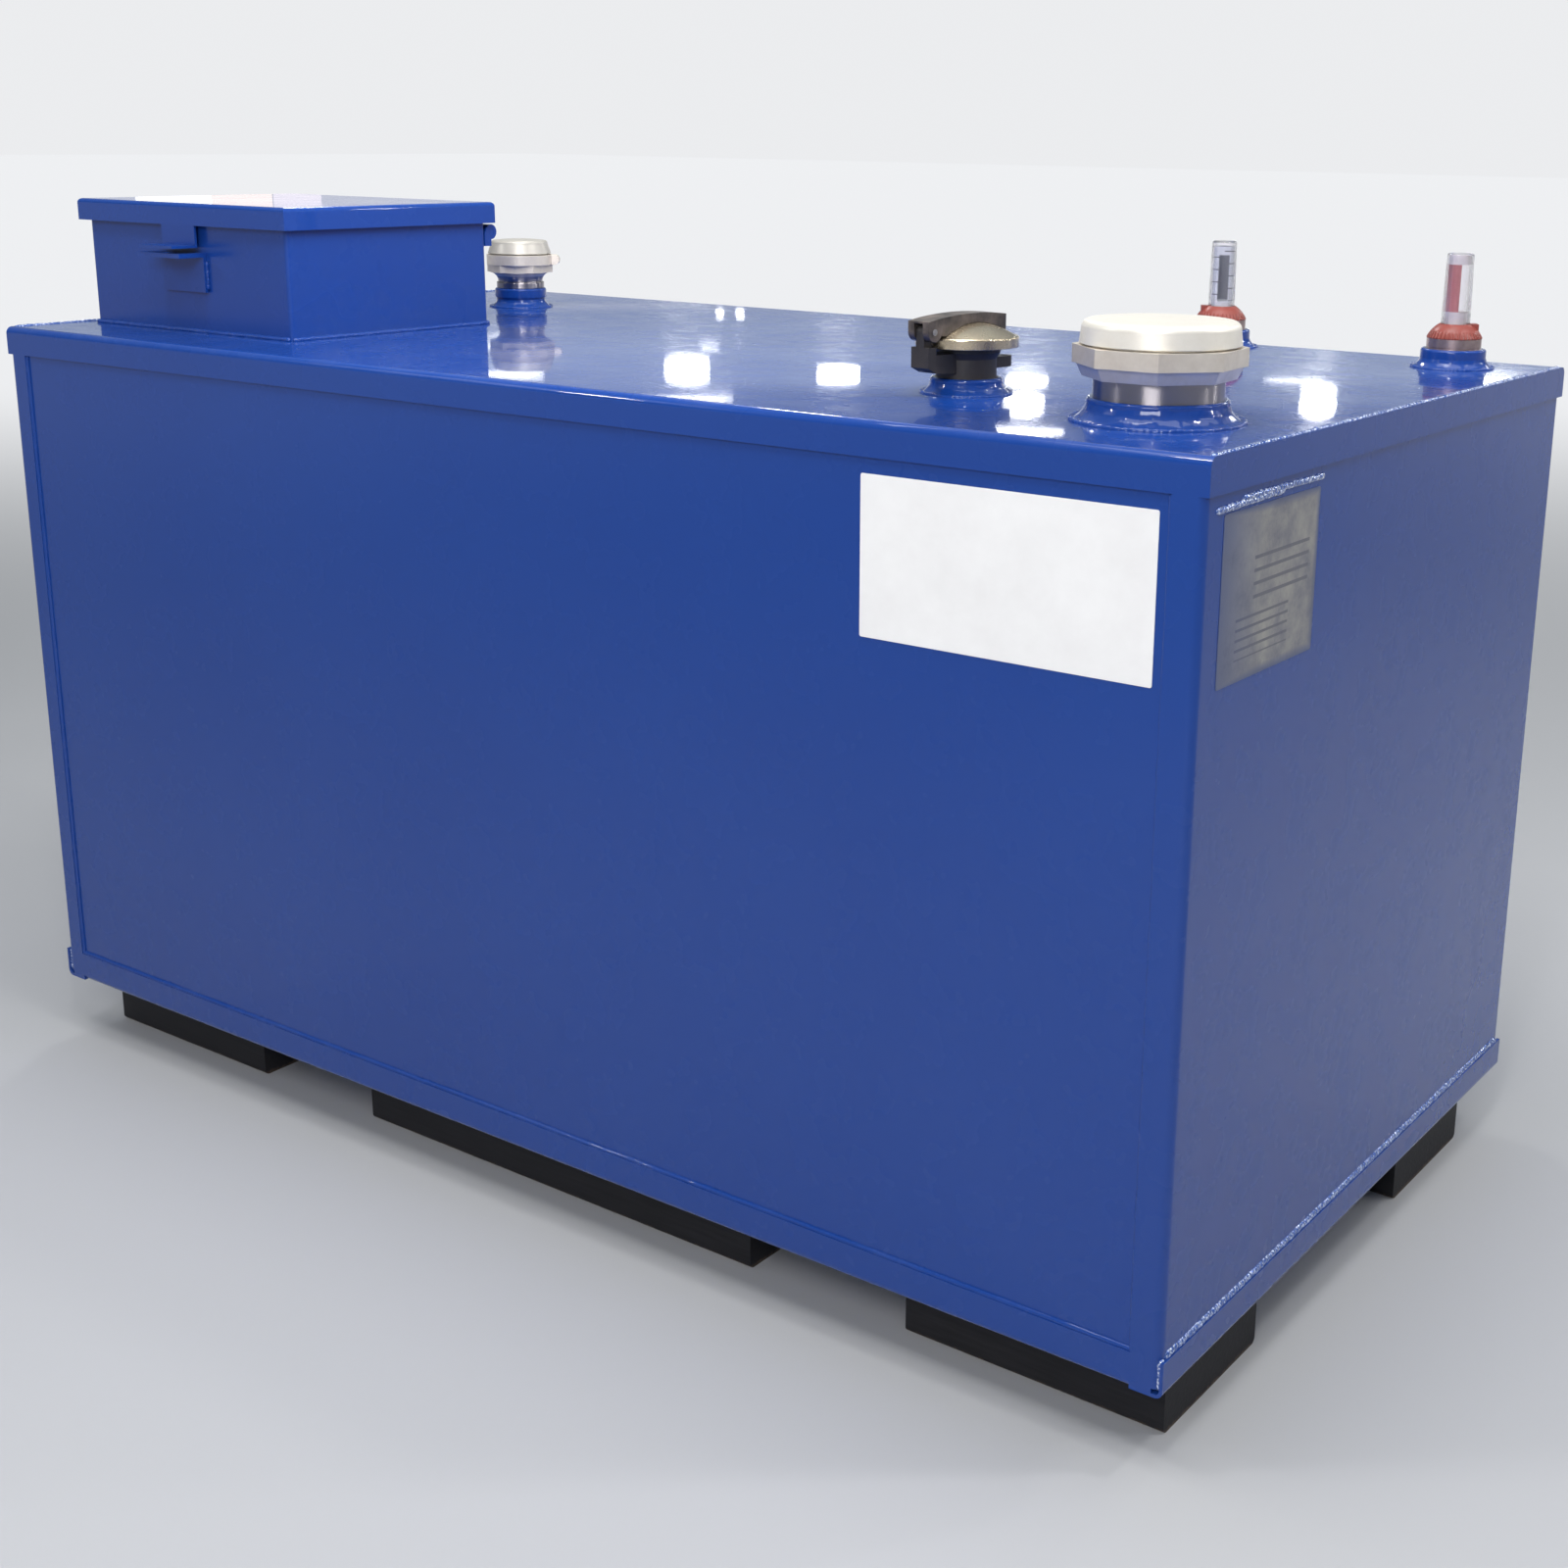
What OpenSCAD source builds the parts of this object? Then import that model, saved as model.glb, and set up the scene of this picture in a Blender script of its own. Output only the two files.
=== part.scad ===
// Double-wall waste oil tank: a folded steel shell on skids, with a lockable
// spill box, two emergency vents, a locking fill cap and two clear gauges.
// Millimetres, +Z up. The origin is on the floor under the middle of the tank,
// X runs along its length and the front faces -Y.

/* [Shell] */
// Length over the deck
tank_l = 1590; // [1300:10:2400]
// Width over the deck
tank_w = 840; // [700:10:1200]
// Height of the shell, from its floor sheet to the deck
shell_h = 827; // [500:1:1200]
// Thickness of the outer sheet
sheet_t = 3.4; // [2:0.1:5]
// Depth of the deck's turned-down skirt
deck_skirt = 32; // [20:1:60]
// Width of the end walls' flanges, seen as bands at the corners
corner_band = 33; // [20:1:60]
// Height of the floor pan's turned-up lip
pan_lip = 36; // [20:1:60]
// Outer radius of the sheet's bends
bend_r = 8; // [6:0.5:14]

/* [Skids] */
// Height of the skids
skid_h = 76; // [50:1:120]
// Width of a skid
skid_w = 188; // [80:1:240]
// Length of the middle skids
mid_skid_l = 576; // [300:1:900]
// Width of a fork pocket
fork_pocket = 196; // [150:1:250]
// How far the end skids stop short of the ends
skid_end_inset = 25; // [5:1:60]
// How far the skids stand back from the front and back
skid_side_inset = 57; // [20:1:90]
// Radius on a skid's edges
skid_edge_r = 6; // [2:0.5:12]

/* [Spill box] */
// Length of the box
box_l = 360; // [250:1:500]
// Depth of the box, front to back
box_d = 303; // [200:1:400]
// Height of the box's walls
box_h = 144; // [100:1:200]
// Thickness of the box's and lid's sheet
box_t = 3; // [2:0.1:5]
// Outer radius of the box's corners and the lid's bends
box_bend_r = 5; // [4:0.5:10]
// Gap from the deck's left end to the box
box_left_gap = 25; // [16:1:200]
// Gap from the deck's front to the box
box_front_gap = 109; // [60:1:200]
// Depth of the lid's skirt
lid_skirt = 25; // [15:1:40]
// Room between the box's walls and the lid's skirt
lid_room = 6; // [5:0.5:12]
// Outer diameter of the hinge's barrel
barrel_d = 18; // [14:1:26]
// Diameter of the hinge's pin
hinge_pin_d = 9; // [6:0.5:12]
// Number of knuckles along the hinge, an odd number
knuckles = 7; // [3:2:11]

/* [Hasp] */
// Width of the hasp's tab on the lid
hasp_w = 60; // [40:1:90]
// Drop of the tab below the lid's skirt
hasp_drop = 25; // [15:1:40]
// Reach of the tab's padlock leg
hasp_reach = 32; // [22:1:45]
// Diameter of the padlock holes
padlock_hole_d = 11; // [8:0.5:14]
// Height of the bracket's wall leg
bracket_h = 45; // [30:1:60]
// Extra width of the bracket, past the tab
bracket_extra = 16; // [0:1:30]

/* [Pipe couplings] */
// Outer diameter of the two-inch couplings
coupling_d = 69; // [66:0.5:76]
// Outer diameter of a two-inch pipe
pipe_d = 60.3; // [58:0.1:62]
// Outer diameter of the large vent's coupling
large_coupling_d = 124; // [120:0.5:140]
// Outer diameter of the large vent's pipe
large_pipe_d = 114.3; // [110:0.1:116]
// How far the gauges' couplings stand above the deck
gauge_coupling_rise = 20; // [15:1:35]
// How far the fill cap's coupling stands above the deck
fill_coupling_rise = 15; // [10:1:35]
// How far the small vent's coupling stands above the deck
small_coupling_rise = 25; // [16:1:35]
// How far the large vent's coupling stands above the deck
large_coupling_rise = 20; // [10:1:35]
// Radius on a coupling's upper edge
coupling_edge_r = 3; // [1:0.5:3.5]

/* [Large vent] */
// From the right end of the deck
large_vent_from_right = 134; // [100:1:400]
// From the front of the deck
large_vent_from_front = 161; // [100:1:300]
// Across the corners of its octagonal flange
large_octagon_d = 151; // [146:1:165]
// Turn of the octagon, seen from above
large_octagon_turn = 27; // [0:1:44]
// Height of its cover
large_cover_h = 23.5; // [18:0.5:35]
// Lift of its cover
large_vent_lift = 25; // [10:1:30]

/* [Small vent] */
// From the left end of the deck
small_vent_from_left = 225; // [60:1:500]
// From the spill box's back
small_vent_behind_box = 217; // [150:1:300]
// Across the corners of its hexagon
small_hexagon_d = 88; // [84:1:98]
// Turn of the hexagon and the lug, seen from above
small_hexagon_turn = 38; // [0:1:59]
// Height of its cover
small_cover_h = 20.5; // [16:0.5:30]
// Lift of its cover
small_vent_lift = 18; // [8:1:25]

/* [Fill cap] */
// From the right end of the deck
fill_from_right = 370; // [260:1:700]
// From the front of the deck
fill_from_front = 220; // [120:1:400]
// Turn of the arm, seen from above
fill_arm_turn = 81; // [0:1:180]
// Diameter of the brass cover
fill_cover_d = 98; // [90:1:110]
// Height of the cover's rim
fill_rim_h = 10; // [7:0.5:14]
// Rise of the cover's dome
fill_dome_h = 12.5; // [8:0.5:16]
// Width of the arm at its fork
fill_arm_w = 26; // [24:1:34]
// Diameter of the arm's pin
fill_pin_d = 6; // [4:0.5:7]

/* [Gauges] */
// Level gauge, from the right end of the deck
level_gauge_from_right = 391; // [150:1:700]
// Level gauge, from the back of the deck
level_gauge_from_back = 48; // [46:1:200]
// Leak gauge, from the right end of the deck
leak_gauge_from_right = 95; // [60:1:300]
// Leak gauge, from the back of the deck
leak_gauge_from_back = 85; // [46:1:200]
// Height of the tubes above the deck
gauge_h = 120; // [95:1:200]
// Outer diameter of the tubes at their foot
gauge_tube_d = 31; // [24:0.5:37]

/* [Hidden] */
$fn = 96;

// Clearance under a piece that rests on its seat
seat_gap = 0.3;
// Radial clearance of a pin or stem that turns or slides
pin_gap = 0.1;
// Clearance of a piece that is threaded or pushed into another
thread_gap = 0.3;
// Overshoot of a cut
cut = 1;

shell_z = skid_h;
deck_z = skid_h + shell_h;
tank_blue = [0.10, 0.20, 0.56];
zinc = [0.80, 0.80, 0.76];
black_iron = [0.13, 0.13, 0.13];
brass = [0.80, 0.72, 0.48];
gauge_red = [0.80, 0.24, 0.18];

// Places of the fittings on the deck
large_vent_at = [tank_l/2 - large_vent_from_right, -tank_w/2 + large_vent_from_front];
fill_at = [tank_l/2 - fill_from_right, -tank_w/2 + fill_from_front];
level_gauge_at = [tank_l/2 - level_gauge_from_right, tank_w/2 - level_gauge_from_back];
leak_gauge_at = [tank_l/2 - leak_gauge_from_right, tank_w/2 - leak_gauge_from_back];
box_left = -tank_l/2 + box_left_gap;
box_front = -tank_w/2 + box_front_gap;
box_back = box_front + box_d;
box_mid = box_left + box_l/2;
small_vent_at = [-tank_l/2 + small_vent_from_left, box_back + small_vent_behind_box];
// The neck in the box stands to the left, with room at the right for a funnel
neck_at = [box_left + box_l*0.25, box_front + box_d/2];

// Ends of the left skids; the right ones mirror them
end_skid_x0 = -tank_l/2 + skid_end_inset;
end_skid_x1 = -mid_skid_l/2 - fork_pocket;

// The lid, its hasp and the bracket below it
lid_overhang = lid_room + box_t;
lid_l = box_l + 2*lid_overhang;
lid_d = box_d + 2*lid_overhang;
lid_top_z = deck_z + box_h + seat_gap + box_t;
lid_skirt_z = lid_top_z - lid_skirt;
lid_front = box_front - lid_overhang;
lid_back = box_back + lid_overhang;
hasp_leg_z = lid_skirt_z - hasp_drop;
hasp_gap = 5.5;
bracket_t = 5;
bracket_w = hasp_w + bracket_extra;

// The hinge runs along the box's back wall, just below the lid's skirt
hinge_y = box_back + barrel_d/2 + 1.5;
hinge_z = lid_skirt_z - barrel_d/2 - 2;
knuckle_pitch = box_l/knuckles;
knuckle_gap = 0.6;
leaf_t = 3;

// Filling neck in the box, and its plug
neck_rise = 45;
plug_flange_h = 8;
plug_square = 26;
plug_square_h = 18;

// How far a fitting's thread goes down into its coupling
shank = 18;
// Length of a vent's stem that stays in its guide at full lift
stem_guide = 25;
// Shadow gap under a vent cover's rim
rim_gap = 1.5;

// Large vent, from its coupling up: neck, boss, flange and cover
large_neck_h = 17;
large_boss_h = 11.3;
large_boss_d = large_octagon_d - 6;
large_flange_h = 16;
large_stem_d = 14;
large_cover_d = large_octagon_d*cos(22.5);
large_seat_z = large_coupling_rise + large_neck_h + large_boss_h + large_flange_h;

// Small vent: bead of the coupling, foot, neck with its cove, hexagon, seat ring and cover
small_bead_h = 12;
small_foot_h = 8;
small_neck_h = 21;
small_cove_r = 12;
small_hexagon_h = 10;
small_ring_h = 13.3;
small_lug_reach = 10;
small_stem_d = 10;
small_cover_d = small_hexagon_d - 3.4;
small_seat_z = small_coupling_rise + small_neck_h + small_hexagon_h + small_ring_h;

// Fill cap, laid out along its arm with the hinge at the left
fill_body_d = 57;
fill_body_h = 28.7;
fill_seat_d = 64;
fill_seat_z = fill_coupling_rise + fill_body_h + seat_gap;
fill_rim_z = fill_seat_z + fill_rim_h;
fill_top_z = fill_rim_z + fill_dome_h;
fill_tongue_w = 10;
fill_tongue_r = 6.5;
fill_ear_r = 9;
fill_ear_gap = 0.5;
fill_pivot_s = -(fill_cover_d/2 + fill_tongue_r + 2.5);
fill_pivot_z = fill_rim_z + 6;
fill_nose_s = fill_cover_d/2 + 1;
fill_dome_r = (pow(fill_cover_d/2 - 3, 2) + pow(fill_dome_h, 2))/(2*fill_dome_h);

// Gauges: plated band, red collar, clear tube and what shows inside it
gauge_band_d = 57.4;
gauge_band_h = 11;
gauge_collar_d = 58;
gauge_collar_h = 15;
gauge_collar_rise = 18.5;
gauge_collar_z = gauge_coupling_rise + gauge_band_h;
gauge_tube_taper = 1.3;
gauge_tube_h = gauge_h - gauge_collar_z;
gauge_tube_top = 2;
gauge_bore_d = gauge_tube_d - 2*gauge_tube_taper - 4.4;
gauge_card_d = gauge_bore_d - 1;
gauge_card_h = gauge_tube_h - gauge_tube_top - seat_gap;
gauge_card_t = 1;
gauge_band_top_h = 9.5;
gauge_window_w = 11.5;
gauge_view_turn = 30;
level_plug_h = 21;
leak_plug_h = 27.5;

// Profile standing on the X axis with its two upper corners rounded
module round_top(w, h, r) {
    translate([-w/2, 0]) square([w, h - r]);
    translate([-w/2 + r, 0]) square([w - 2*r, h]);
    for (s = [-1, 1]) translate([s*(w/2 - r), h - r]) circle(r = r);
}

// Folded sheet: a web with a flange at each side, opening downwards
module folded_sheet(w, h, t, r) {
    difference() {
        round_top(w, h, r);
        translate([0, -cut]) round_top(w - 2*t, h - t + cut, r - t);
    }
}

// Rectangle with four rounded corners, centred
module rounded_rect(w, d, r) {
    square([w - 2*r, d], center = true);
    square([w, d - 2*r], center = true);
    for (sx = [-1, 1], sy = [-1, 1]) translate([sx*(w/2 - r), sy*(d/2 - r)]) circle(r = r);
}

// Lays a profile in the YZ plane and runs it along X, centred
module along_x(len) {
    rotate([90, 0, 90]) linear_extrude(len, center = true) children();
}

// Lays a profile in the XZ plane and runs it along Y, centred
module along_y(len) {
    rotate([90, 0, 0]) linear_extrude(len, center = true) children();
}

module tube(d, bore, h) {
    difference() {
        cylinder(d = d, h = h);
        translate([0, 0, -cut]) cylinder(d = bore, h = h + 2*cut);
    }
}

// Turned cap: sides drawn in from r1 to r2, upper edge rounded
module cap_disc(r1, r2, h, edge_r) {
    rotate_extrude() {
        polygon([[0, 0], [r1, 0], [r2, h - edge_r], [r2 - edge_r, h], [0, h]]);
        translate([r2 - edge_r, h - edge_r]) intersection() {
            circle(r = edge_r);
            square(edge_r);
        }
    }
}

// Shallow dome of diameter d at z = 0
module dome(d, rise) {
    r = (pow(d/2, 2) + pow(rise, 2))/(2*rise);
    rotate_extrude() intersection() {
        translate([0, rise - r]) circle(r = r, $fn = 200);
        translate([0, -cut]) square([d/2, rise + 2*cut]);
    }
}

module top_deck() {
    color(tank_blue) difference() {
        union() {
            translate([0, 0, deck_z - deck_skirt])
                along_x(tank_l) folded_sheet(tank_w, deck_skirt, sheet_t, bend_r);
            for (s = [-1, 1]) translate([s*(tank_l - sheet_t)/2, 0, deck_z - deck_skirt])
                along_x(sheet_t) round_top(tank_w, deck_skirt, bend_r);
        }
        for (at = [small_vent_at, fill_at, level_gauge_at, leak_gauge_at, neck_at])
            translate([at[0], at[1], deck_z - 2*sheet_t]) cylinder(d = pipe_d, h = 3*sheet_t);
        translate([large_vent_at[0], large_vent_at[1], deck_z - 2*sheet_t])
            cylinder(d = large_pipe_d, h = 3*sheet_t);
    }
}

// Side sheet, lapped behind the skirt, the corner bands and the floor pan's lip
module side_wall() {
    translate([-tank_l/2 + sheet_t + bend_r, -tank_w/2 + sheet_t, shell_z + bend_r])
        cube([tank_l - 2*(sheet_t + bend_r), sheet_t, shell_h - 2*bend_r]);
}

module front_wall() {
    color(tank_blue) side_wall();
}

module back_wall() {
    color(tank_blue) mirror([0, 1, 0]) side_wall();
}

// End sheet with its flanges turned on to the front and back, standing in the floor pan
module end_wall() {
    inner_x = tank_l/2 - corner_band;
    translate([inner_x, 0, shell_z + bend_r]) rotate([0, 0, -90])
        linear_extrude(shell_h - deck_skirt - bend_r)
            folded_sheet(tank_w, corner_band - sheet_t, sheet_t, bend_r);
    // The flanges carry on down to the floor sheet, beside its bend
    for (s = [-1, 1]) translate([inner_x, s*(tank_w - sheet_t)/2 - sheet_t/2, shell_z + sheet_t])
        cube([corner_band - sheet_t - bend_r, sheet_t, bend_r - sheet_t + cut]);
    // Upper edge, lapped behind the deck's end strip
    translate([tank_l/2 - 2*sheet_t, -tank_w/2 + bend_r, deck_z - deck_skirt])
        cube([sheet_t, tank_w - 2*bend_r, deck_skirt - sheet_t]);
}

module left_end_wall() {
    color(tank_blue) mirror([1, 0, 0]) end_wall();
}

module right_end_wall() {
    color(tank_blue) end_wall();
}

// Floor sheet with lips turned up on all four sides
module bottom_pan() {
    mid_l = tank_l - 2*corner_band;
    color(tank_blue) {
        translate([0, 0, shell_z + pan_lip]) mirror([0, 0, 1])
            along_x(mid_l) folded_sheet(tank_w, pan_lip, sheet_t, bend_r);
        difference() {
            translate([0, 0, shell_z + pan_lip]) mirror([0, 0, 1])
                along_y(tank_w) folded_sheet(tank_l, pan_lip, sheet_t, bend_r);
            translate([-mid_l/2, -tank_w/2 - cut, shell_z - cut])
                cube([mid_l, tank_w + 2*cut, pan_lip + 2*cut]);
        }
    }
}

// One skid, from x0 to x1, on the front side
module skid(x0, x1) {
    y_mid = -tank_w/2 + skid_side_inset + skid_w/2;
    color(black_iron) translate([(x0 + x1)/2, y_mid, skid_h]) mirror([0, 0, 1])
        along_x(x1 - x0) round_top(skid_w, skid_h, skid_edge_r);
}

module front_left_skid() {
    skid(end_skid_x0, end_skid_x1);
}

module front_middle_skid() {
    skid(-mid_skid_l/2, mid_skid_l/2);
}

module front_right_skid() {
    skid(-end_skid_x1, -end_skid_x0);
}

module back_left_skid() {
    mirror([0, 1, 0]) front_left_skid();
}

module back_middle_skid() {
    mirror([0, 1, 0]) front_middle_skid();
}

module back_right_skid() {
    mirror([0, 1, 0]) front_right_skid();
}

module spill_box() {
    color(tank_blue) translate([box_mid, box_front + box_d/2, deck_z])
        linear_extrude(box_h) difference() {
            rounded_rect(box_l, box_d, box_bend_r);
            rounded_rect(box_l - 2*box_t, box_d - 2*box_t, box_bend_r - box_t);
        }
}

// Block with bends along its four upper edges
module bent_block(l, d, h, r) {
    intersection() {
        along_x(l) round_top(d, h, r);
        along_y(d) round_top(l, h, r);
    }
}

module spill_box_lid() {
    color(tank_blue) translate([box_mid, box_front + box_d/2, lid_skirt_z])
        difference() {
            bent_block(lid_l, lid_d, lid_skirt, box_bend_r);
            translate([0, 0, -cut])
                bent_block(lid_l - 2*box_t, lid_d - 2*box_t, lid_skirt - box_t + cut, box_bend_r - box_t);
        }
}

// Tab that carries on down from the lid's skirt and turns out for a padlock
module lid_hasp() {
    color(tank_blue) difference() {
        union() {
            translate([box_mid - hasp_w/2, lid_front, hasp_leg_z])
                cube([hasp_w, box_t, hasp_drop]);
            translate([box_mid - hasp_w/2, lid_front - hasp_reach, hasp_leg_z])
                cube([hasp_w, hasp_reach + box_t, box_t]);
        }
        translate([box_mid, lid_front - hasp_reach/2, hasp_leg_z - cut])
            cylinder(d = padlock_hole_d, h = box_t + 2*cut);
    }
}

// Bracket welded on the box's wall, its leg just below the tab's leg
module lock_bracket() {
    top_z = hasp_leg_z - hasp_gap;
    reach = box_front - (lid_front - hasp_reach) - 3;
    color(tank_blue) difference() {
        union() {
            translate([box_mid - bracket_w/2, box_front - bracket_t, top_z - bracket_h])
                cube([bracket_w, bracket_t, bracket_h]);
            translate([box_mid - bracket_w/2, box_front - reach, top_z - bracket_t])
                cube([bracket_w, reach, bracket_t]);
        }
        translate([box_mid, lid_front - hasp_reach/2, top_z - bracket_t - cut])
            cylinder(d = padlock_hole_d, h = bracket_t + 2*cut);
    }
}

// The barrel of knuckle i, counted from the left
module knuckle_barrel(i) {
    translate([box_left + i*knuckle_pitch + knuckle_gap/2, hinge_y, hinge_z]) rotate([0, 90, 0])
        cylinder(d = barrel_d, h = knuckle_pitch - knuckle_gap);
}

module hinge_pin_bore() {
    translate([box_left - cut, hinge_y, hinge_z]) rotate([0, 90, 0])
        cylinder(d = hinge_pin_d + 2*pin_gap, h = box_l + 2*cut);
}

// Fixed knuckles, each on a foot against the box's wall
module fixed_hinge_knuckles() {
    color(tank_blue) difference() {
        for (i = [0 : 2 : knuckles - 1]) {
            knuckle_barrel(i);
            translate([box_left + i*knuckle_pitch + knuckle_gap/2, box_back, hinge_z - barrel_d/2 - 8])
                cube([knuckle_pitch - knuckle_gap, hinge_y - box_back, barrel_d/2 + 8]);
        }
        hinge_pin_bore();
    }
}

// Moving knuckles, each on a leaf against the lid's skirt
module moving_hinge_knuckles() {
    color(tank_blue) difference() {
        for (i = [1 : 2 : knuckles - 2]) {
            knuckle_barrel(i);
            translate([box_left + i*knuckle_pitch + knuckle_gap/2, lid_back, hinge_z])
                cube([knuckle_pitch - knuckle_gap, leaf_t, lid_top_z - box_bend_r - hinge_z]);
        }
        hinge_pin_bore();
    }
}

module lid_hinge_pin() {
    color(zinc) translate([box_left + knuckle_gap, hinge_y, hinge_z]) rotate([0, 90, 0])
        cylinder(d = hinge_pin_d, h = box_l - 2*knuckle_gap);
}

// Half coupling welded on the deck, its upper edge rounded
module coupling(at, d, bore, rise) {
    color(tank_blue) translate([at[0], at[1], deck_z]) difference() {
        cap_disc(d/2, d/2, rise, coupling_edge_r);
        translate([0, 0, -cut]) cylinder(d = bore, h = rise + 2*cut);
    }
}

module box_fill_neck() {
    coupling(neck_at, coupling_d, pipe_d, neck_rise);
}

// Square-headed plug screwed into the neck
module box_fill_plug() {
    color(black_iron) translate([neck_at[0], neck_at[1], deck_z + neck_rise]) {
        translate([0, 0, -shank]) cylinder(d = pipe_d - 2*thread_gap, h = shank);
        cap_disc(coupling_d/2, coupling_d/2, plug_flange_h, 2);
        translate([-plug_square/2, -plug_square/2, plug_flange_h - cut])
            cube([plug_square, plug_square, plug_square_h + cut]);
    }
}

// Coupling with a heavy bead round its top
module small_vent_coupling() {
    color(tank_blue) translate([small_vent_at[0], small_vent_at[1], deck_z]) difference() {
        union() {
            cylinder(d = coupling_d - 4, h = small_coupling_rise - small_bead_h + cut);
            translate([0, 0, small_coupling_rise - small_bead_h])
                cap_disc(coupling_d/2, coupling_d/2, small_bead_h, coupling_edge_r);
        }
        translate([0, 0, -cut]) cylinder(d = pipe_d, h = small_coupling_rise + 2*cut);
    }
}

// Cast body: threaded neck, hexagon on a cove, round seat with a lug, and a guide for the stem
module small_vent_body() {
    neck_r = pipe_d/2 - thread_gap;
    hexagon_z = small_neck_h;
    ring_z = hexagon_z + small_hexagon_h;
    color(zinc) translate([small_vent_at[0], small_vent_at[1], deck_z + small_coupling_rise])
        rotate(small_hexagon_turn) difference() {
            union() {
                translate([0, 0, -shank]) cylinder(r = neck_r, h = shank + small_neck_h + cut);
                translate([0, 0, seat_gap]) cap_disc(neck_r + 2, neck_r + 2, small_foot_h, 1.5);
                intersection() {
                    cylinder(d = small_hexagon_d, h = ring_z + cut, $fn = 6);
                    rotate_extrude() difference() {
                        translate([0, hexagon_z - small_cove_r])
                            square([small_hexagon_d/2, small_cove_r + small_hexagon_h + cut]);
                        translate([neck_r + small_cove_r, hexagon_z - small_cove_r])
                            circle(r = small_cove_r);
                        translate([neck_r + small_cove_r, hexagon_z - 2*small_cove_r])
                            square([small_hexagon_d, 2*small_cove_r]);
                    }
                }
                translate([0, 0, ring_z]) cylinder(d = small_hexagon_d, h = small_ring_h);
                // Lug with a rounded end
                translate([small_hexagon_d/2 + small_lug_reach - small_ring_h/2, 0, ring_z + small_ring_h/2])
                    rotate([90, 0, 0]) cylinder(d = small_ring_h, h = 12, center = true);
                translate([0, -6, ring_z])
                    cube([small_hexagon_d/2 + small_lug_reach - small_ring_h/2, 12, small_ring_h]);
            }
            translate([0, 0, -shank - cut])
                cylinder(d = small_stem_d + 1, h = shank + ring_z + small_ring_h + 2*cut);
        }
}

// Weighted cover on a stem, its rim just clear of the seat
module vent_cover(d, taper, h, edge_r, stem_d, lift) {
    dome_h = 2;
    cylinder(d = d - 8, h = rim_gap + cut);
    translate([0, 0, rim_gap]) cap_disc(d/2, d/2 - taper, h - rim_gap - dome_h, edge_r);
    translate([0, 0, h - dome_h]) dome(d - 2*taper - 2*edge_r, dome_h);
    translate([0, 0, -lift - stem_guide]) cylinder(d = stem_d, h = lift + stem_guide + cut);
}

module small_vent_cover() {
    color(zinc) translate([small_vent_at[0], small_vent_at[1], deck_z + small_seat_z + seat_gap])
        vent_cover(small_cover_d, 4.3, small_cover_h, 4, small_stem_d, small_vent_lift);
}

module large_vent_coupling() {
    coupling(large_vent_at, large_coupling_d, large_pipe_d, large_coupling_rise);
}

// Block between two sloping sides that face the given turn and back
module sloped_slab(turn, w_bottom, w_top, h) {
    rotate([90, 0, turn]) linear_extrude(2*w_top, center = true)
        polygon([[-w_bottom/2, 0], [w_bottom/2, 0], [w_top/2, h], [-w_top/2, h]]);
}

// Octagon that tapers downwards, sized over its corners
module octagon_taper(d_bottom, d_top, h) {
    w_bottom = d_bottom*cos(22.5);
    w_top = d_top*cos(22.5);
    intersection() {
        sloped_slab(22.5, w_bottom, w_top, h);
        sloped_slab(67.5, w_bottom, w_top, h);
        sloped_slab(112.5, w_bottom, w_top, h);
        sloped_slab(157.5, w_bottom, w_top, h);
    }
}

// Cast body: threaded neck, octagonal boss that tapers down to it, and an octagonal flange
module large_vent_body() {
    flange_z = large_neck_h + large_boss_h;
    color(zinc) translate([large_vent_at[0], large_vent_at[1], deck_z + large_coupling_rise])
        rotate(large_octagon_turn) difference() {
            union() {
                translate([0, 0, -shank])
                    cylinder(d = large_pipe_d - 2*thread_gap, h = shank + large_neck_h + cut);
                translate([0, 0, large_neck_h])
                    octagon_taper(large_boss_d - 12, large_boss_d, large_boss_h + cut);
                translate([0, 0, flange_z]) cylinder(d = large_octagon_d, h = large_flange_h, $fn = 8);
            }
            translate([0, 0, -shank - cut])
                cylinder(d = large_stem_d + 1, h = shank + flange_z + large_flange_h + 2*cut);
        }
}

module large_vent_cover() {
    color(zinc) translate([large_vent_at[0], large_vent_at[1], deck_z + large_seat_z + seat_gap])
        vent_cover(large_cover_d, 1.5, large_cover_h, 7, large_stem_d, large_vent_lift);
}

module fill_coupling() {
    coupling(fill_at, coupling_d, pipe_d, fill_coupling_rise);
}

// Moves to the fill cap's own frame: X along the arm, Z up from the deck
module at_fill() {
    translate([fill_at[0], fill_at[1], deck_z]) rotate(fill_arm_turn) children();
}

// Extrudes a side view of the fill cap, X along the arm and Y up
module across_arm(w) {
    rotate([90, 0, 0]) linear_extrude(w, center = true) children();
}

module fill_pivot(d, w) {
    translate([fill_pivot_s, 0, fill_pivot_z]) rotate([90, 0, 0]) cylinder(d = d, h = w, center = true);
}

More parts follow.
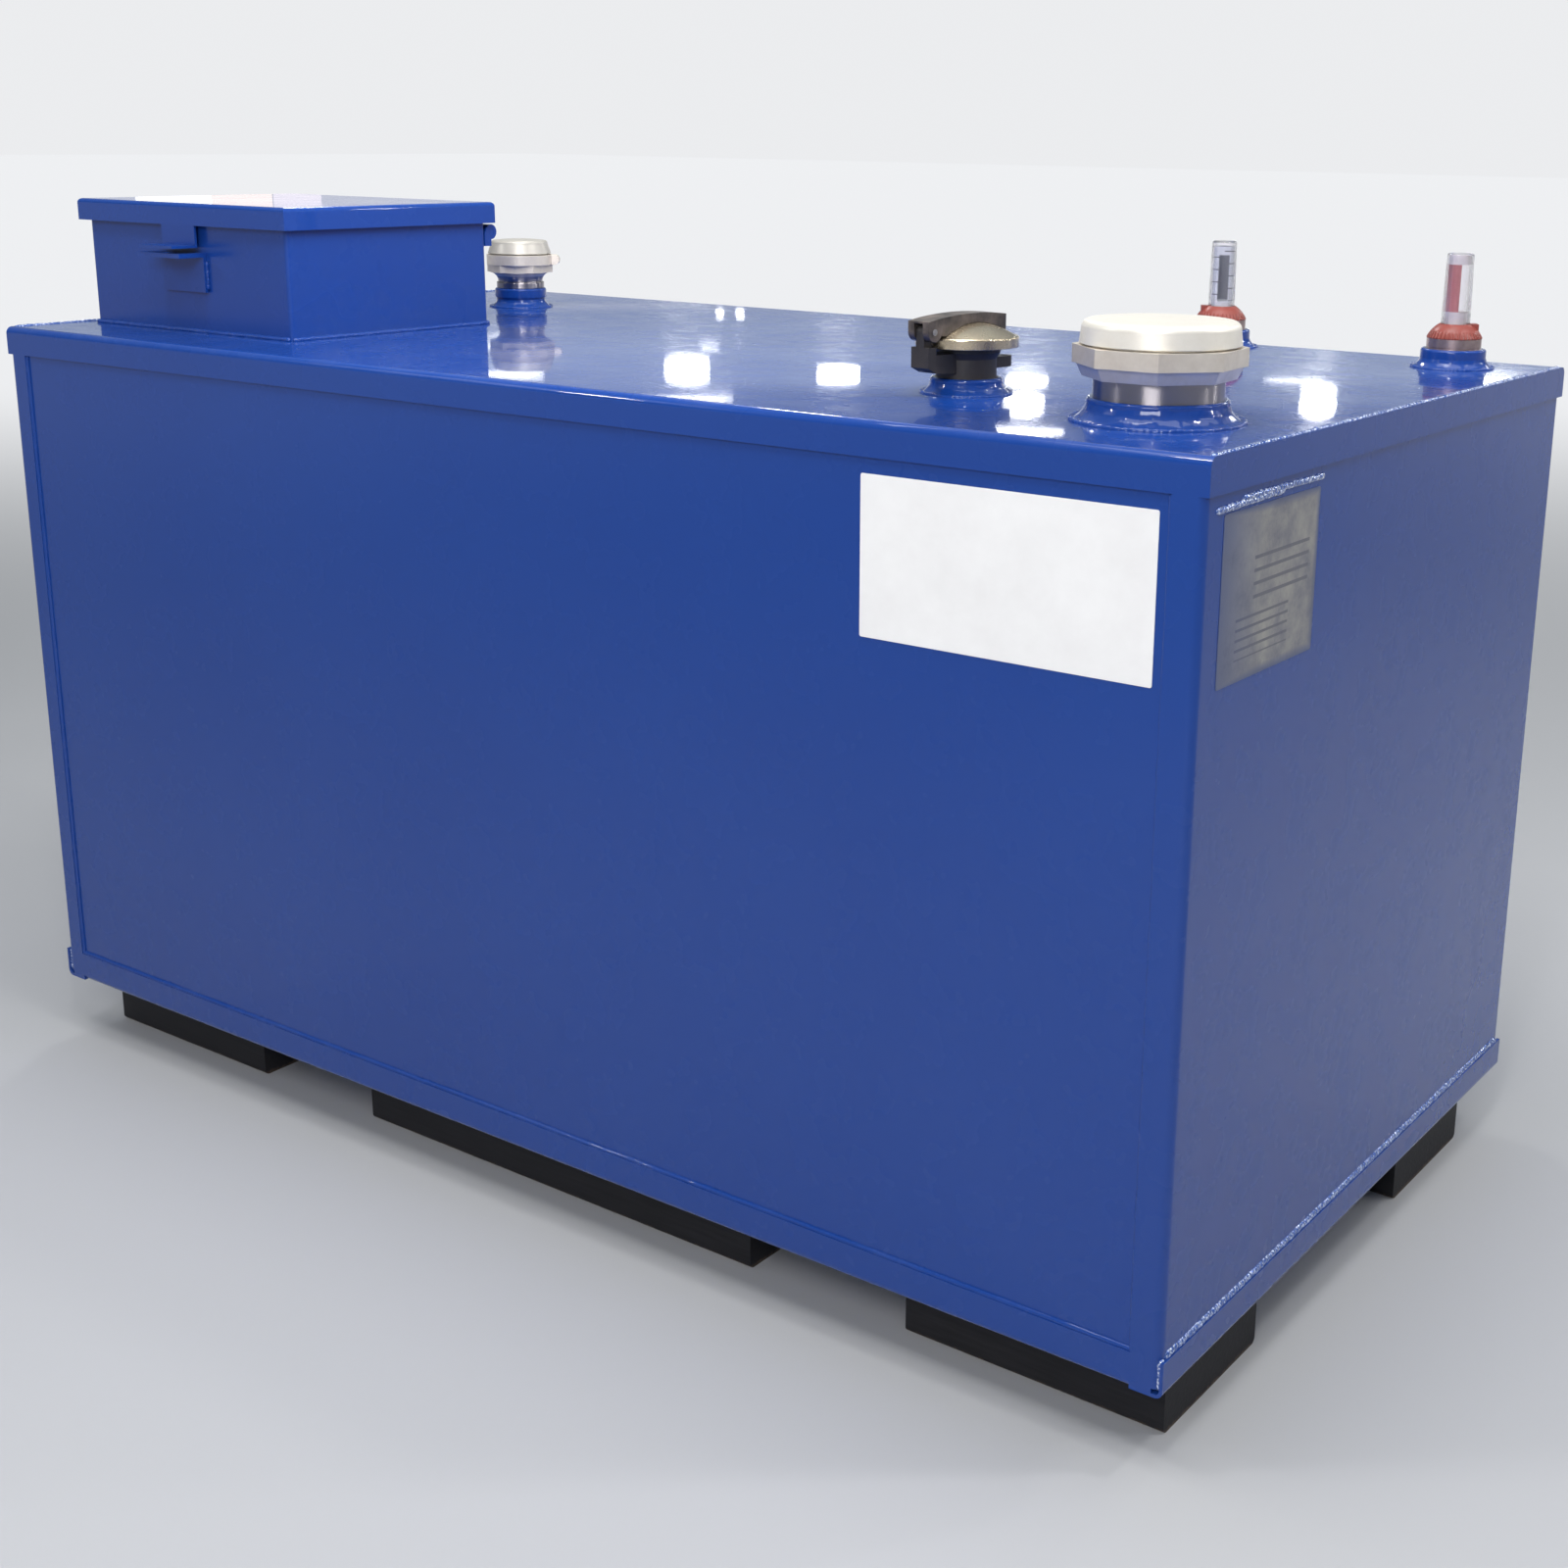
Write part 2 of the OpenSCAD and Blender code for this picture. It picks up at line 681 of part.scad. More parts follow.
// Threaded body with a seat for the cover, a bracket for the arm and a padlock lug
module fill_cap_body() {
    bracket_top = fill_pivot_z - fill_ear_r - 5;
    under_seat = fill_seat_z - seat_gap - 5;
    outer_s = fill_pivot_s - fill_tongue_r;
    inner_s = -fill_cover_d/2 - 5;
    lug_end = fill_cover_d/2 + 4;
    color(black_iron) at_fill() difference() {
        union() {
            translate([0, 0, fill_coupling_rise - shank]) cylinder(d = pipe_d - 2*thread_gap, h = shank);
            translate([0, 0, fill_coupling_rise]) cylinder(d = fill_body_d, h = fill_body_h);
            translate([0, 0, under_seat - 6]) cylinder(d1 = fill_body_d, d2 = fill_seat_d, h = 6);
            translate([0, 0, under_seat]) cylinder(d = fill_seat_d, h = 5);
            // Bracket out under the cover's rim, then up to the pin
            across_arm(fill_arm_w - 4) polygon([
                [0, fill_coupling_rise + 3], [inner_s, fill_coupling_rise + 7],
                [outer_s, fill_coupling_rise + 12], [outer_s, bracket_top],
                [inner_s, bracket_top], [inner_s, under_seat], [0, under_seat]
            ]);
            across_arm(fill_tongue_w) {
                translate([fill_pivot_s, fill_pivot_z]) circle(r = fill_tongue_r);
                translate([outer_s, bracket_top - cut])
                    square([inner_s - outer_s, fill_pivot_z - bracket_top + cut]);
            }
            // Padlock lug opposite the hinge
            translate([lug_end, 0, fill_coupling_rise + 6]) cylinder(d = 15, h = 10.5);
            translate([0, -7.5, fill_coupling_rise + 6]) cube([lug_end, 15, 10.5]);
        }
        translate([0, 0, fill_coupling_rise - shank - cut])
            cylinder(d = pipe_d - 12, h = shank + fill_body_h + 2*cut);
        translate([lug_end, 0, fill_coupling_rise]) cylinder(d = 8, h = 20);
        fill_pivot(fill_pin_d, fill_tongue_w + 2*cut);
    }
}

// Domed brass cover under the arm, recessed underneath
module fill_cap_cover() {
    rim_r = fill_cover_d/2;
    color(brass) at_fill() translate([0, 0, fill_seat_z]) difference() {
        union() {
            cap_disc(rim_r, rim_r, fill_rim_h, 2);
            translate([0, 0, fill_rim_h]) dome(2*rim_r - 6, fill_dome_h);
        }
        translate([0, 0, -cut]) cylinder(d = pipe_d - 12, h = fill_rim_h + cut);
    }
}

// Cast arm: a fork round the tongue, and an arch that lies on the dome out to a round nose
module fill_cap_arm() {
    top_r = 380;
    arch_z = fill_top_z + 8.5;
    fork_end = fill_pivot_s + fill_ear_r;
    web_z = fill_rim_z + 2;
    nose_w = fill_arm_w - 6;
    color(black_iron) at_fill() difference() {
        union() {
            intersection() {
                across_arm(fill_arm_w) intersection() {
                    translate([-4, arch_z - top_r]) circle(r = top_r, $fn = 360);
                    union() {
                        translate([fill_pivot_s - fill_ear_r, fill_pivot_z])
                            square([fill_nose_s - fill_pivot_s + fill_ear_r, 40]);
                        translate([fork_end, web_z]) square([fill_nose_s - fork_end, 40]);
                    }
                }
                // Plan of the arm, narrowing to the nose
                linear_extrude(2*arch_z) {
                    polygon([
                        [fill_pivot_s - fill_ear_r - cut, -fill_arm_w/2], [fork_end, -fill_arm_w/2],
                        [fill_nose_s - nose_w/2, -nose_w/2], [fill_nose_s - nose_w/2, nose_w/2],
                        [fork_end, fill_arm_w/2], [fill_pivot_s - fill_ear_r - cut, fill_arm_w/2]
                    ]);
                    translate([fill_nose_s - nose_w/2, 0]) circle(d = nose_w);
                }
            }
            fill_pivot(2*fill_ear_r, fill_arm_w);
        }
        translate([0, 0, fill_top_z - fill_dome_r]) sphere(r = fill_dome_r + seat_gap, $fn = 200);
        // Slot of the fork
        translate([fill_pivot_s, 0, fill_pivot_z])
            translate([-fill_ear_r - cut, -fill_tongue_w/2 - fill_ear_gap, -fill_ear_r - cut])
                cube([fill_ear_r + fill_tongue_r + 1.2 + cut, fill_tongue_w + 2*fill_ear_gap,
                      fill_ear_r + fill_tongue_r + 2.5]);
        fill_pivot(fill_pin_d + 2*pin_gap, fill_arm_w + 2*cut);
    }
}

module fill_cap_pin() {
    color(zinc) at_fill() fill_pivot(fill_pin_d, fill_arm_w);
}

// Plated fitting screwed into the gauge's coupling, with a band that stands proud
module gauge_fitting(at) {
    color(zinc) translate([at[0], at[1], deck_z + gauge_coupling_rise]) difference() {
        union() {
            translate([0, 0, -shank]) cylinder(d = pipe_d - 2*thread_gap, h = shank);
            cylinder(d = gauge_band_d - 2.4, h = gauge_band_h);
            translate([0, 0, 2]) cylinder(d = gauge_band_d, h = gauge_band_h - 2);
        }
        translate([0, 0, -shank - cut]) cylinder(d = gauge_tube_d + 1, h = shank + gauge_band_h + 2*cut);
    }
}

// Red collar: a domed ring with a flat tab on one side
module gauge_collar(at, tab_turn) {
    color(gauge_red) translate([at[0], at[1], deck_z + gauge_collar_z]) difference() {
        union() {
            cylinder(d = gauge_collar_d, h = 1);
            intersection() {
                translate([0, 0, 1]) dome(gauge_collar_d, gauge_collar_rise);
                cylinder(d = gauge_collar_d, h = gauge_collar_h);
            }
            rotate(tab_turn) translate([0, -8, gauge_collar_h - 7]) cube([gauge_tube_d/2 + 8, 16, 7]);
        }
        translate([0, 0, -cut]) cylinder(d = gauge_tube_d, h = gauge_collar_h + 2*cut);
    }
}

// Clear tube, closed at the top
module gauge_tube(at) {
    color([0.85, 0.90, 0.92]) translate([at[0], at[1], deck_z + gauge_collar_z]) difference() {
        union() {
            cylinder(d = gauge_tube_d, h = gauge_collar_h);
            translate([0, 0, gauge_collar_h]) cap_disc(gauge_tube_d/2, gauge_tube_d/2 - gauge_tube_taper,
                                                       gauge_tube_h - gauge_collar_h, 3);
        }
        translate([0, 0, -cut]) cylinder(d = gauge_bore_d, h = gauge_tube_h - gauge_tube_top + cut);
    }
}

module level_gauge_bung() {
    coupling(level_gauge_at, coupling_d, pipe_d, gauge_coupling_rise);
}

module level_gauge_fitting() {
    gauge_fitting(level_gauge_at);
}

module level_gauge_collar() {
    gauge_collar(level_gauge_at, gauge_view_turn + 180);
}

module level_gauge_tube() {
    gauge_tube(level_gauge_at);
}

// Scale card curled inside the tube on a foot plug, with a window to the front for the float
module level_gauge_scale() {
    card_h = gauge_card_h - 4;
    color("white") translate([level_gauge_at[0], level_gauge_at[1], deck_z + gauge_collar_z]) {
        cylinder(d = gauge_card_d, h = level_plug_h);
        difference() {
            tube(gauge_card_d, gauge_card_d - 2*gauge_card_t, card_h);
            rotate(gauge_view_turn) translate([-gauge_window_w/2, -gauge_card_d, level_plug_h])
                cube([gauge_window_w, gauge_card_d, card_h - level_plug_h - gauge_band_top_h]);
        }
    }
}

module leak_gauge_bung() {
    coupling(leak_gauge_at, coupling_d, pipe_d, gauge_coupling_rise);
}

module leak_gauge_fitting() {
    gauge_fitting(leak_gauge_at);
}

module leak_gauge_collar() {
    gauge_collar(leak_gauge_at, gauge_view_turn);
}

module leak_gauge_tube() {
    gauge_tube(leak_gauge_at);
}

// Leak indicator: foot plug, a card round one half of the bore, and a plug at the top
module leak_gauge_float() {
    color(gauge_red) translate([leak_gauge_at[0], leak_gauge_at[1], deck_z + gauge_collar_z]) {
        cylinder(d = gauge_card_d, h = leak_plug_h);
        difference() {
            tube(gauge_card_d, gauge_card_d - 2*gauge_card_t, gauge_card_h);
            rotate(gauge_view_turn) translate([0, -gauge_card_d, leak_plug_h])
                cube([gauge_card_d, 2*gauge_card_d, gauge_card_h - leak_plug_h]);
        }
        translate([0, 0, gauge_card_h - gauge_band_top_h]) cylinder(d = gauge_card_d, h = gauge_band_top_h);
    }
}

top_deck();
front_wall();
back_wall();
left_end_wall();
right_end_wall();
bottom_pan();
front_left_skid();
front_middle_skid();
front_right_skid();
back_left_skid();
back_middle_skid();
back_right_skid();
spill_box();
spill_box_lid();
lid_hasp();
lock_bracket();
fixed_hinge_knuckles();
moving_hinge_knuckles();
lid_hinge_pin();
box_fill_neck();
box_fill_plug();
small_vent_coupling();
small_vent_body();
small_vent_cover();
large_vent_coupling();
large_vent_body();
large_vent_cover();
fill_coupling();
fill_cap_body();
fill_cap_cover();
fill_cap_arm();
fill_cap_pin();
level_gauge_bung();
level_gauge_fitting();
level_gauge_collar();
level_gauge_tube();
level_gauge_scale();
leak_gauge_bung();
leak_gauge_fitting();
leak_gauge_collar();
leak_gauge_tube();
leak_gauge_float();
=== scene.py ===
import bpy
import math
from mathutils import Vector, Matrix


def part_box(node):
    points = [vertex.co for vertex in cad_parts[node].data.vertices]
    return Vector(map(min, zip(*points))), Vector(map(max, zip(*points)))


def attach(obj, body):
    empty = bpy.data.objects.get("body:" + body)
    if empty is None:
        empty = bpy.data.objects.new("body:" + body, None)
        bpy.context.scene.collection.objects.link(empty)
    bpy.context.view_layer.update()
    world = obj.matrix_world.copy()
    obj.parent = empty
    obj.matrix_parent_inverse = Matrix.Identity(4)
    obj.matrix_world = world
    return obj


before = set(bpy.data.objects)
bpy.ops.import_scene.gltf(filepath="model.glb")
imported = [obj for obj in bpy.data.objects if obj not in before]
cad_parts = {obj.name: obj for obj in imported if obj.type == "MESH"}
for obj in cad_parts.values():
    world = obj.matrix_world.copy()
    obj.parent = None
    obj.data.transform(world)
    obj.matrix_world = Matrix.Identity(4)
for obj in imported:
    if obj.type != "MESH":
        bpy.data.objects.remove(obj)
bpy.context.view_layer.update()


# ---------------------------------------------------------------- camera
# It stands in front of the right end, a little above the deck, and looks down along the tank,
# through a normal lens that is shifted a little, with a slight lean to one side.
camera_place = (1.5119, -1.8657, 1.1432)
camera_turn = math.radians(35.01)
camera_tilt = math.radians(15.36)
camera_roll = math.radians(0.74)
bpy.ops.object.select_all(action="DESELECT")
bpy.ops.object.camera_add(location=camera_place)
camera = bpy.context.object
camera.name = "camera"
camera.rotation_euler = (
    Matrix.Rotation(camera_turn, 3, "Z")
    @ Matrix.Rotation(math.radians(90) - camera_tilt, 3, "X")
    @ Matrix.Rotation(camera_roll, 3, "Z")
).to_euler()
camera.data.lens = 47.95
camera.data.shift_x = -0.0695
camera.data.shift_y = -0.0522
camera.data.clip_end = 200
bpy.context.scene.camera = camera


# ---------------------------------------------------------------- floor and light
# A plain pale floor that brightens outwards until it meets a pale horizon. Soft boxes hang
# overhead, and small lamps stand low behind the tank, where the glossy deck mirrors them.
def shader(name):
    """A new material, its node tree and its surface."""
    material = bpy.data.materials.new(name)
    material.use_nodes = True
    tree = material.node_tree
    return material, tree, tree.nodes["Principled BSDF"]


def add(tree, kind, inputs=None, **settings):
    """A node with its inputs set, each to a value or to another node's output."""
    item = tree.nodes.new(kind)
    for key, value in settings.items():
        setattr(item, key, value)
    for key, value in (inputs or {}).items():
        if isinstance(value, bpy.types.NodeSocket):
            tree.links.new(value, item.inputs[key])
        else:
            item.inputs[key].default_value = value
    return item


def sums(tree, operation, *values, clamp=False):
    """One step of arithmetic on numbers and other nodes' outputs."""
    step = add(tree, "ShaderNodeMath", dict(enumerate(values)), operation=operation, use_clamp=clamp)
    return step.outputs["Value"]


def vector_sums(tree, operation, *values):
    """One step of arithmetic on vectors."""
    step = add(tree, "ShaderNodeVectorMath", dict(enumerate(values)), operation=operation)
    return step.outputs["Value" if operation in ("LENGTH", "DOT_PRODUCT") else "Vector"]


def spread(tree, value, low=0.0, high=1.0, to_low=0.0, to_high=1.0, interpolation="LINEAR"):
    """Stretches what lies between low and high to between to_low and to_high."""
    step = add(tree, "ShaderNodeMapRange", {
        "Value": value, "From Min": low, "From Max": high, "To Min": to_low, "To Max": to_high},
        interpolation_type=interpolation)
    return step.outputs["Result"]


def two_tones(tree, value, first, second, start=0.0, end=1.0):
    """A colour that goes from the first to the second as the value rises from start to end."""
    tones = add(tree, "ShaderNodeValToRGB", {"Fac": value})
    for stop, position, colour in zip(tones.color_ramp.elements, (start, end), (first, second)):
        stop.position = position
        stop.color = (*colour, 1)
    return tones


def backdrop_level(tree, direction):
    """How bright the far floor and the horizon are: palest behind the tank."""
    behind = (-0.57, 0.82, 0)
    flat = vector_sums(tree, "MULTIPLY", direction, (1, 1, 0))
    facing = vector_sums(tree, "DOT_PRODUCT", vector_sums(tree, "NORMALIZE", flat), behind)
    return spread(tree, facing, 0.66, 0.90, to_low=0.50, to_high=0.86, interpolation="SMOOTHSTEP")


bpy.ops.mesh.primitive_plane_add(size=120, location=(0, 0, 0))
floor = bpy.context.object
floor.name = "floor"
floor_grey, tree, skin = shader("pale_floor")
where = add(tree, "ShaderNodeTexCoord").outputs["Object"]
fade = spread(tree, vector_sums(tree, "LENGTH", where), 1.6, 8.0, interpolation="SMOOTHSTEP")
paint = two_tones(tree, fade, (0.50, 0.50, 0.51), (0.02, 0.02, 0.02))
tree.links.new(paint.outputs["Color"], skin.inputs["Base Color"])
glow = sums(tree, "MULTIPLY", fade, backdrop_level(tree, where))
tree.links.new(glow, skin.inputs["Emission Strength"])
skin.inputs["Emission Color"].default_value = (0.97, 0.98, 1.0, 1)
skin.inputs["Roughness"].default_value = 0.8
skin.inputs["Specular IOR Level"].default_value = 0.2
floor.data.materials.append(floor_grey)

world = bpy.data.worlds.new("studio")
bpy.context.scene.world = world
world.use_nodes = True
tree = world.node_tree
direction = add(tree, "ShaderNodeTexCoord").outputs["Generated"]
way_up = add(tree, "ShaderNodeSeparateXYZ", {"Vector": direction}).outputs["Z"]
# Palest just over the horizon, dim higher up, and lighter again overhead
sky = two_tones(tree, way_up, (0.97, 0.98, 1.0), (0.48, 0.55, 0.64), start=0.062, end=0.085)
for place, level in ((0.105, 0.66), (0.118, 0.46), (0.130, 0.18), (0.25, 0.19), (0.75, 0.52)):
    stop = sky.color_ramp.elements.new(place)
    stop.color = (level, level * 1.13, level * 1.24, 1)
tree.links.new(sky.outputs["Color"], tree.nodes["Background"].inputs["Color"])
tree.links.new(backdrop_level(tree, direction), tree.nodes["Background"].inputs["Strength"])


def soft_box(name, place, aim, size, watts, shape="RECTANGLE", tint=(1, 1, 1)):
    """An area lamp turned to its aim, which shows only where the tank mirrors it."""
    bpy.ops.object.light_add(type="AREA", location=place)
    lamp = bpy.context.object
    lamp.name = name
    lamp.data.shape = shape
    lamp.data.size, lamp.data.size_y = size
    lamp.data.energy = watts
    lamp.data.color = tint
    lamp.rotation_euler = (Vector(aim) - Vector(place)).to_track_quat("-Z", "Y").to_euler()
    lamp.visible_camera = False


soft_box("overhead", (0.3, -0.7, 4.2), (0, 0, 0.6), (3.0, 2.4), 60)
soft_box("key", (1.4, -2.9, 2.1), (0.2, 0, 0.5), (1.3, 0.9), 44)
soft_box("left_high", (-3.2, -2.4, 3.4), (0, -0.4, 0.3), (1.2, 0.8), 4)
soft_box("right_high", (2.4, 1.5, 4.0), (0.8, 0, 0.4), (1.8, 1.8), 14)
soft_box("right_low", (4.0, 1.6, 3.5), (0.8, 0, 0.2), (1.1, 0.5), 6)
soft_box("over_deck", (0.5, -0.3, 2.5), (-0.3, 0, 0.9), (0.7, 0.5), 9)
soft_box("box_side", (0.15, -0.42, 1.45), (-0.45, -0.2, 0.98), (0.4, 0.3), 2.6)
# Small lamps that only make glints on beads and edges
for n, place in enumerate((
        (1.2, -1.6, 3.0), (-0.4, -1.4, 3.2), (1.9, 0.4, 2.8), (3.4, 1.6, 2.3),
        (2.6, 2.6, 2.0), (-2.4, -2.6, 2.6), (-1.6, 1.4, 2.8))):
    soft_box("spark_%d" % n, place, (0.3, 0, 0.6), (0.22, 0.22), 10, "ELLIPSE")
# A window behind the tank, which the rounded end edge of the deck draws out into a bright line
soft_box("window", (1.10, 4.75, 2.70), (0.79, 0.1, 0.9), (0.75, 0.60), 14)
# Three lit doorways far off, which the spill box's lid mirrors
lid_middle = (-0.6, -0.2, 1.05)
soft_box("doorway", (-7.10, 4.46, 1.33), lid_middle, (0.34, 0.18), 0.26)
soft_box("warm_doorway", (-6.90, 4.68, 1.335), lid_middle, (0.30, 0.18), 0.15, tint=(1, 0.72, 0.50))
soft_box("pink_doorway", (-6.70, 4.86, 1.34), lid_middle, (0.22, 0.18), 0.07, tint=(1, 0.82, 0.84))
# Lamps down the hall, low over the horizon, which the deck mirrors: place, size and watts
for n, (place, size, watts) in enumerate((
        ((-5.10, 5.81, 1.80), (0.22, 0.07), 0.5), ((-4.53, 6.26, 1.81), (0.21, 0.065), 0.5),
        ((-3.75, 6.73, 1.83), (0.21, 0.07), 0.5), ((-3.66, 6.56, 1.92), (0.20, 0.07), 0.5),
        ((-2.49, 7.27, 1.88), (0.17, 0.17), 1.0), ((-2.68, 7.41, 1.79), (0.29, 0.02), 0.12),
        ((-3.57, 6.43, 2.01), (0.37, 0.03), 0.3), ((-4.97, 5.66, 1.90), (0.44, 0.015), 0.15),
        ((-5.90, 5.44, 1.70), (0.29, 0.08), 0.12), ((-5.67, 5.23, 1.82), (0.29, 0.03), 0.15),
        ((-5.40, 6.42, 1.58), (0.045, 0.03), 0.05), ((-5.30, 6.46, 1.58), (0.045, 0.03), 0.05),
        ((-5.20, 6.10, 1.70), (0.10, 0.012), 0.03), ((-1.51, 6.65, 1.66), (0.42, 0.08), 1.0))):
    soft_box("hall_%d" % n, place, (0, 0, 0.9), size, watts, "ELLIPSE")
bpy.context.scene.view_settings.view_transform = "Standard"


# ---------------------------------------------------------------- shell
# Folded and welded steel sheet, sprayed all over with thick blue gloss enamel after welding. The
# large faces are a little wavy, and the enamel has a fine orange peel and a trace of dust.
def mottle(tree, where, fineness, detail, roughness=0.5):
    """A cloudy pattern, with so many clouds to a metre and finer ones laid over them."""
    clouds = add(tree, "ShaderNodeTexNoise", {
        "Vector": where, "Scale": fineness, "Detail": detail, "Roughness": roughness})
    return clouds.outputs["Fac"]


def mixed(tree, value, first, second):
    """Two colours or outputs mixed by a value."""
    mix = add(tree, "ShaderNodeMix", {0: value}, data_type="RGBA")
    for socket, colour in ((6, first), (7, second)):
        if isinstance(colour, bpy.types.NodeSocket):
            tree.links.new(colour, mix.inputs[socket])
        else:
            mix.inputs[socket].default_value = (*colour, 1)
    return mix.outputs[2]


def relief(tree, height, depth, under=None, strength=1.0):
    """A fine relief of the given depth in metres, which may lie over another one."""
    bump = add(tree, "ShaderNodeBump", {"Height": height, "Strength": strength, "Distance": depth})
    if under:
        tree.links.new(under, bump.inputs["Normal"])
    return bump.outputs["Normal"]


def gloss_enamel(name, colour, dark, roughness, clear, hazy, waves=0.0016):
    """Enamel with a gloss that goes from clear to hazy, over wavy sheet."""
    material, tree, skin = shader(name)
    where = add(tree, "ShaderNodeTexCoord").outputs["Object"]
    shade = mixed(tree, mottle(tree, where, 2.3, 3.0), dark, colour)
    # Dust lies on what faces up, in patches
    normal = add(tree, "ShaderNodeNewGeometry").outputs["Normal"]
    up = add(tree, "ShaderNodeSeparateXYZ", {"Vector": normal}).outputs["Z"]
    patches = spread(tree, mottle(tree, where, 9.0, 6.0, 0.7), 0.45, 0.8, to_high=0.10)
    dust = sums(tree, "MULTIPLY", up, patches, clamp=True)
    tree.links.new(mixed(tree, dust, shade, (0.30, 0.31, 0.34)), skin.inputs["Base Color"])
    dull = mottle(tree, where, 30.0, 2.0)
    rough = spread(tree, dull, to_low=roughness * 0.6, to_high=roughness * 1.5)
    tree.links.new(rough, skin.inputs["Roughness"])
    haze = spread(tree, mottle(tree, where, 4.0, 3.0), 0.4, 0.75, to_low=clear, to_high=hazy)
    tree.links.new(haze, skin.inputs["Coat Roughness"])
    wave = relief(tree, mottle(tree, where, 2.6, 1.0), waves)
    ripple = relief(tree, mottle(tree, where, 14.0, 1.0), 0.000015, wave)
    peel = relief(tree, mottle(tree, where, 300.0, 1.0), 0.000006, ripple)
    tree.links.new(peel, skin.inputs["Normal"])
    tree.links.new(peel, skin.inputs["Coat Normal"])
    skin.inputs["Specular IOR Level"].default_value = 0.1
    skin.inputs["Coat Weight"].default_value = 0.68
    skin.inputs["Coat IOR"].default_value = 1.5
    return material


def dress(material, *names):
    """Puts a material on CAD nodes."""
    for name in names:
        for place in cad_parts[name].material_slots:
            place.material = material


blue = gloss_enamel("blue_enamel", (0.010, 0.056, 0.29), (0.007, 0.044, 0.25),
                    roughness=0.25, clear=0.02, hazy=0.06)
dress(blue, "top_deck", "front_wall", "back_wall", "left_end_wall", "right_end_wall", "bottom_pan")


# ---------------------------------------------------------------- welds of the shell
# Wire-welded beads laid in short overlapping puddles and sprayed with the tank: one along each end on the
# lip of the floor pan, one on the deck's edge, a stitch near the front corner under the deck's strip, and
# a short one up each corner of the pan. Their enamel is a lighter blue than the tank's, a painted
# reflection, with painted glints.
def finish(tree, skin, pattern, smooth, rough, depth):
    """A roughness between smooth and rough, and a relief, that follow one pattern."""
    tree.links.new(spread(tree, pattern, to_low=smooth, to_high=rough), skin.inputs["Roughness"])
    tree.links.new(relief(tree, pattern, depth), skin.inputs["Normal"])


weld_enamel, tree, skin = shader("enamel_over_weld")
where = add(tree, "ShaderNodeTexCoord").outputs["Object"]
spatter_and_glints = mottle(tree, where, 420.0, 3.0)
glint_specks = spread(tree, spatter_and_glints, 0.50, 0.64)
# Pale specks painted on the beads are painted glints, over a lighter blue that is a painted reflection
tree.links.new(mixed(tree, glint_specks, (0.022, 0.090, 0.38), (0.62, 0.69, 0.88)), skin.inputs["Base Color"])
finish(tree, skin, spatter_and_glints, smooth=0.16, rough=0.34, depth=0.0002)
skin.inputs["Metallic"].default_value = 0.35
skin.inputs["Coat Weight"].default_value = 1.0
skin.inputs["Coat IOR"].default_value = 1.7
skin.inputs["Coat Roughness"].default_value = 0.06

# Length of a puddle, in pitches
puddle_length = 2.3


def puddle(width, pitch):
    """One drop of weld, drawn out along the bead."""
    bpy.ops.object.select_all(action="DESELECT")
    bpy.ops.mesh.primitive_uv_sphere_add(segments=14, ring_count=8, radius=width / 2, location=(0, 0, 0))
    bead = bpy.context.object
    bead.scale.x = puddle_length * pitch / width
    bpy.ops.object.transform_apply(location=False, rotation=False, scale=True)
    return bead


def roughen(bead, size=0.006, height=0.0016):
    """Makes a bead uneven, in lumps of the given size and height."""
    clouds = bpy.data.textures.new("puddles", "CLOUDS")
    clouds.noise_scale = size
    move = bead.modifiers.new("uneven", "DISPLACE")
    move.texture, move.strength, move.texture_coords = clouds, height, "GLOBAL"
    bpy.ops.object.modifier_apply(modifier=move.name)
    bpy.ops.object.shade_smooth()


def straight_weld(start, end, width=0.006, pitch=0.0044):
    """A row of puddles from start to end."""
    start, end = Vector(start), Vector(end)
    bead = puddle(width, pitch)
    row = bead.modifiers.new("row", "ARRAY")
    row.fit_type, row.fit_length = "FIT_LENGTH", (end - start).length - puddle_length * pitch
    row.use_relative_offset, row.use_constant_offset = False, True
    row.constant_offset_displace = (pitch, 0, 0)
    bpy.ops.object.modifier_apply(modifier=row.name)
    bead.rotation_euler = (end - start).to_track_quat("X", "Z").to_euler()
    bead.location = start + (end - start).normalized() * (puddle_length / 2) * pitch
    bpy.ops.object.transform_apply(location=True, rotation=True, scale=False)
    roughen(bead)
    return bead


def ring_weld(centre, radius, width, pitch):
    """A row of puddles round a coupling's foot."""
    bpy.ops.curve.primitive_bezier_circle_add(radius=radius, location=(0, 0, 0))
    path = bpy.context.object
    bead = puddle(width, pitch)
    row = bead.modifiers.new("row", "ARRAY")
    row.fit_type, row.curve = "FIT_CURVE", path
    row.use_relative_offset, row.use_constant_offset = False, True
    row.constant_offset_displace = (pitch, 0, 0)
    bend = bead.modifiers.new("bend", "CURVE")
    bend.object = path
    bpy.ops.object.modifier_apply(modifier=row.name)
    bpy.ops.object.modifier_apply(modifier=bend.name)
    bpy.data.objects.remove(path)
    bpy.ops.transform.translate(value=centre)
    bpy.ops.object.transform_apply(location=True, rotation=False, scale=False)
    roughen(bead)
    return bead


def join(name, parts, material):
    """Makes one piece of the tank from its parts, in one material."""
    bpy.ops.object.select_all(action="DESELECT")
    for part in parts:
        part.select_set(True)
    bpy.context.view_layer.objects.active = parts[0]
    bpy.ops.object.join()
    piece = bpy.context.object
    piece.name = name
    piece.data.name = name
    piece.data.materials.clear()
    piece.data.materials.append(material)
    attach(piece, "tank")


deck_lo, deck_hi = (Vector(v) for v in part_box("top_deck"))
pan_lo, pan_hi = (Vector(v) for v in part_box("bottom_pan"))
deck_z = deck_hi.z
# How far inside the end the middle of each bead lies
edge_in = 0.0043
lip_in = 0.0055
corner_in = 0.0048
# How far the long beads stop short of the corners
lip_short = 0.006
edge_short = 0.008
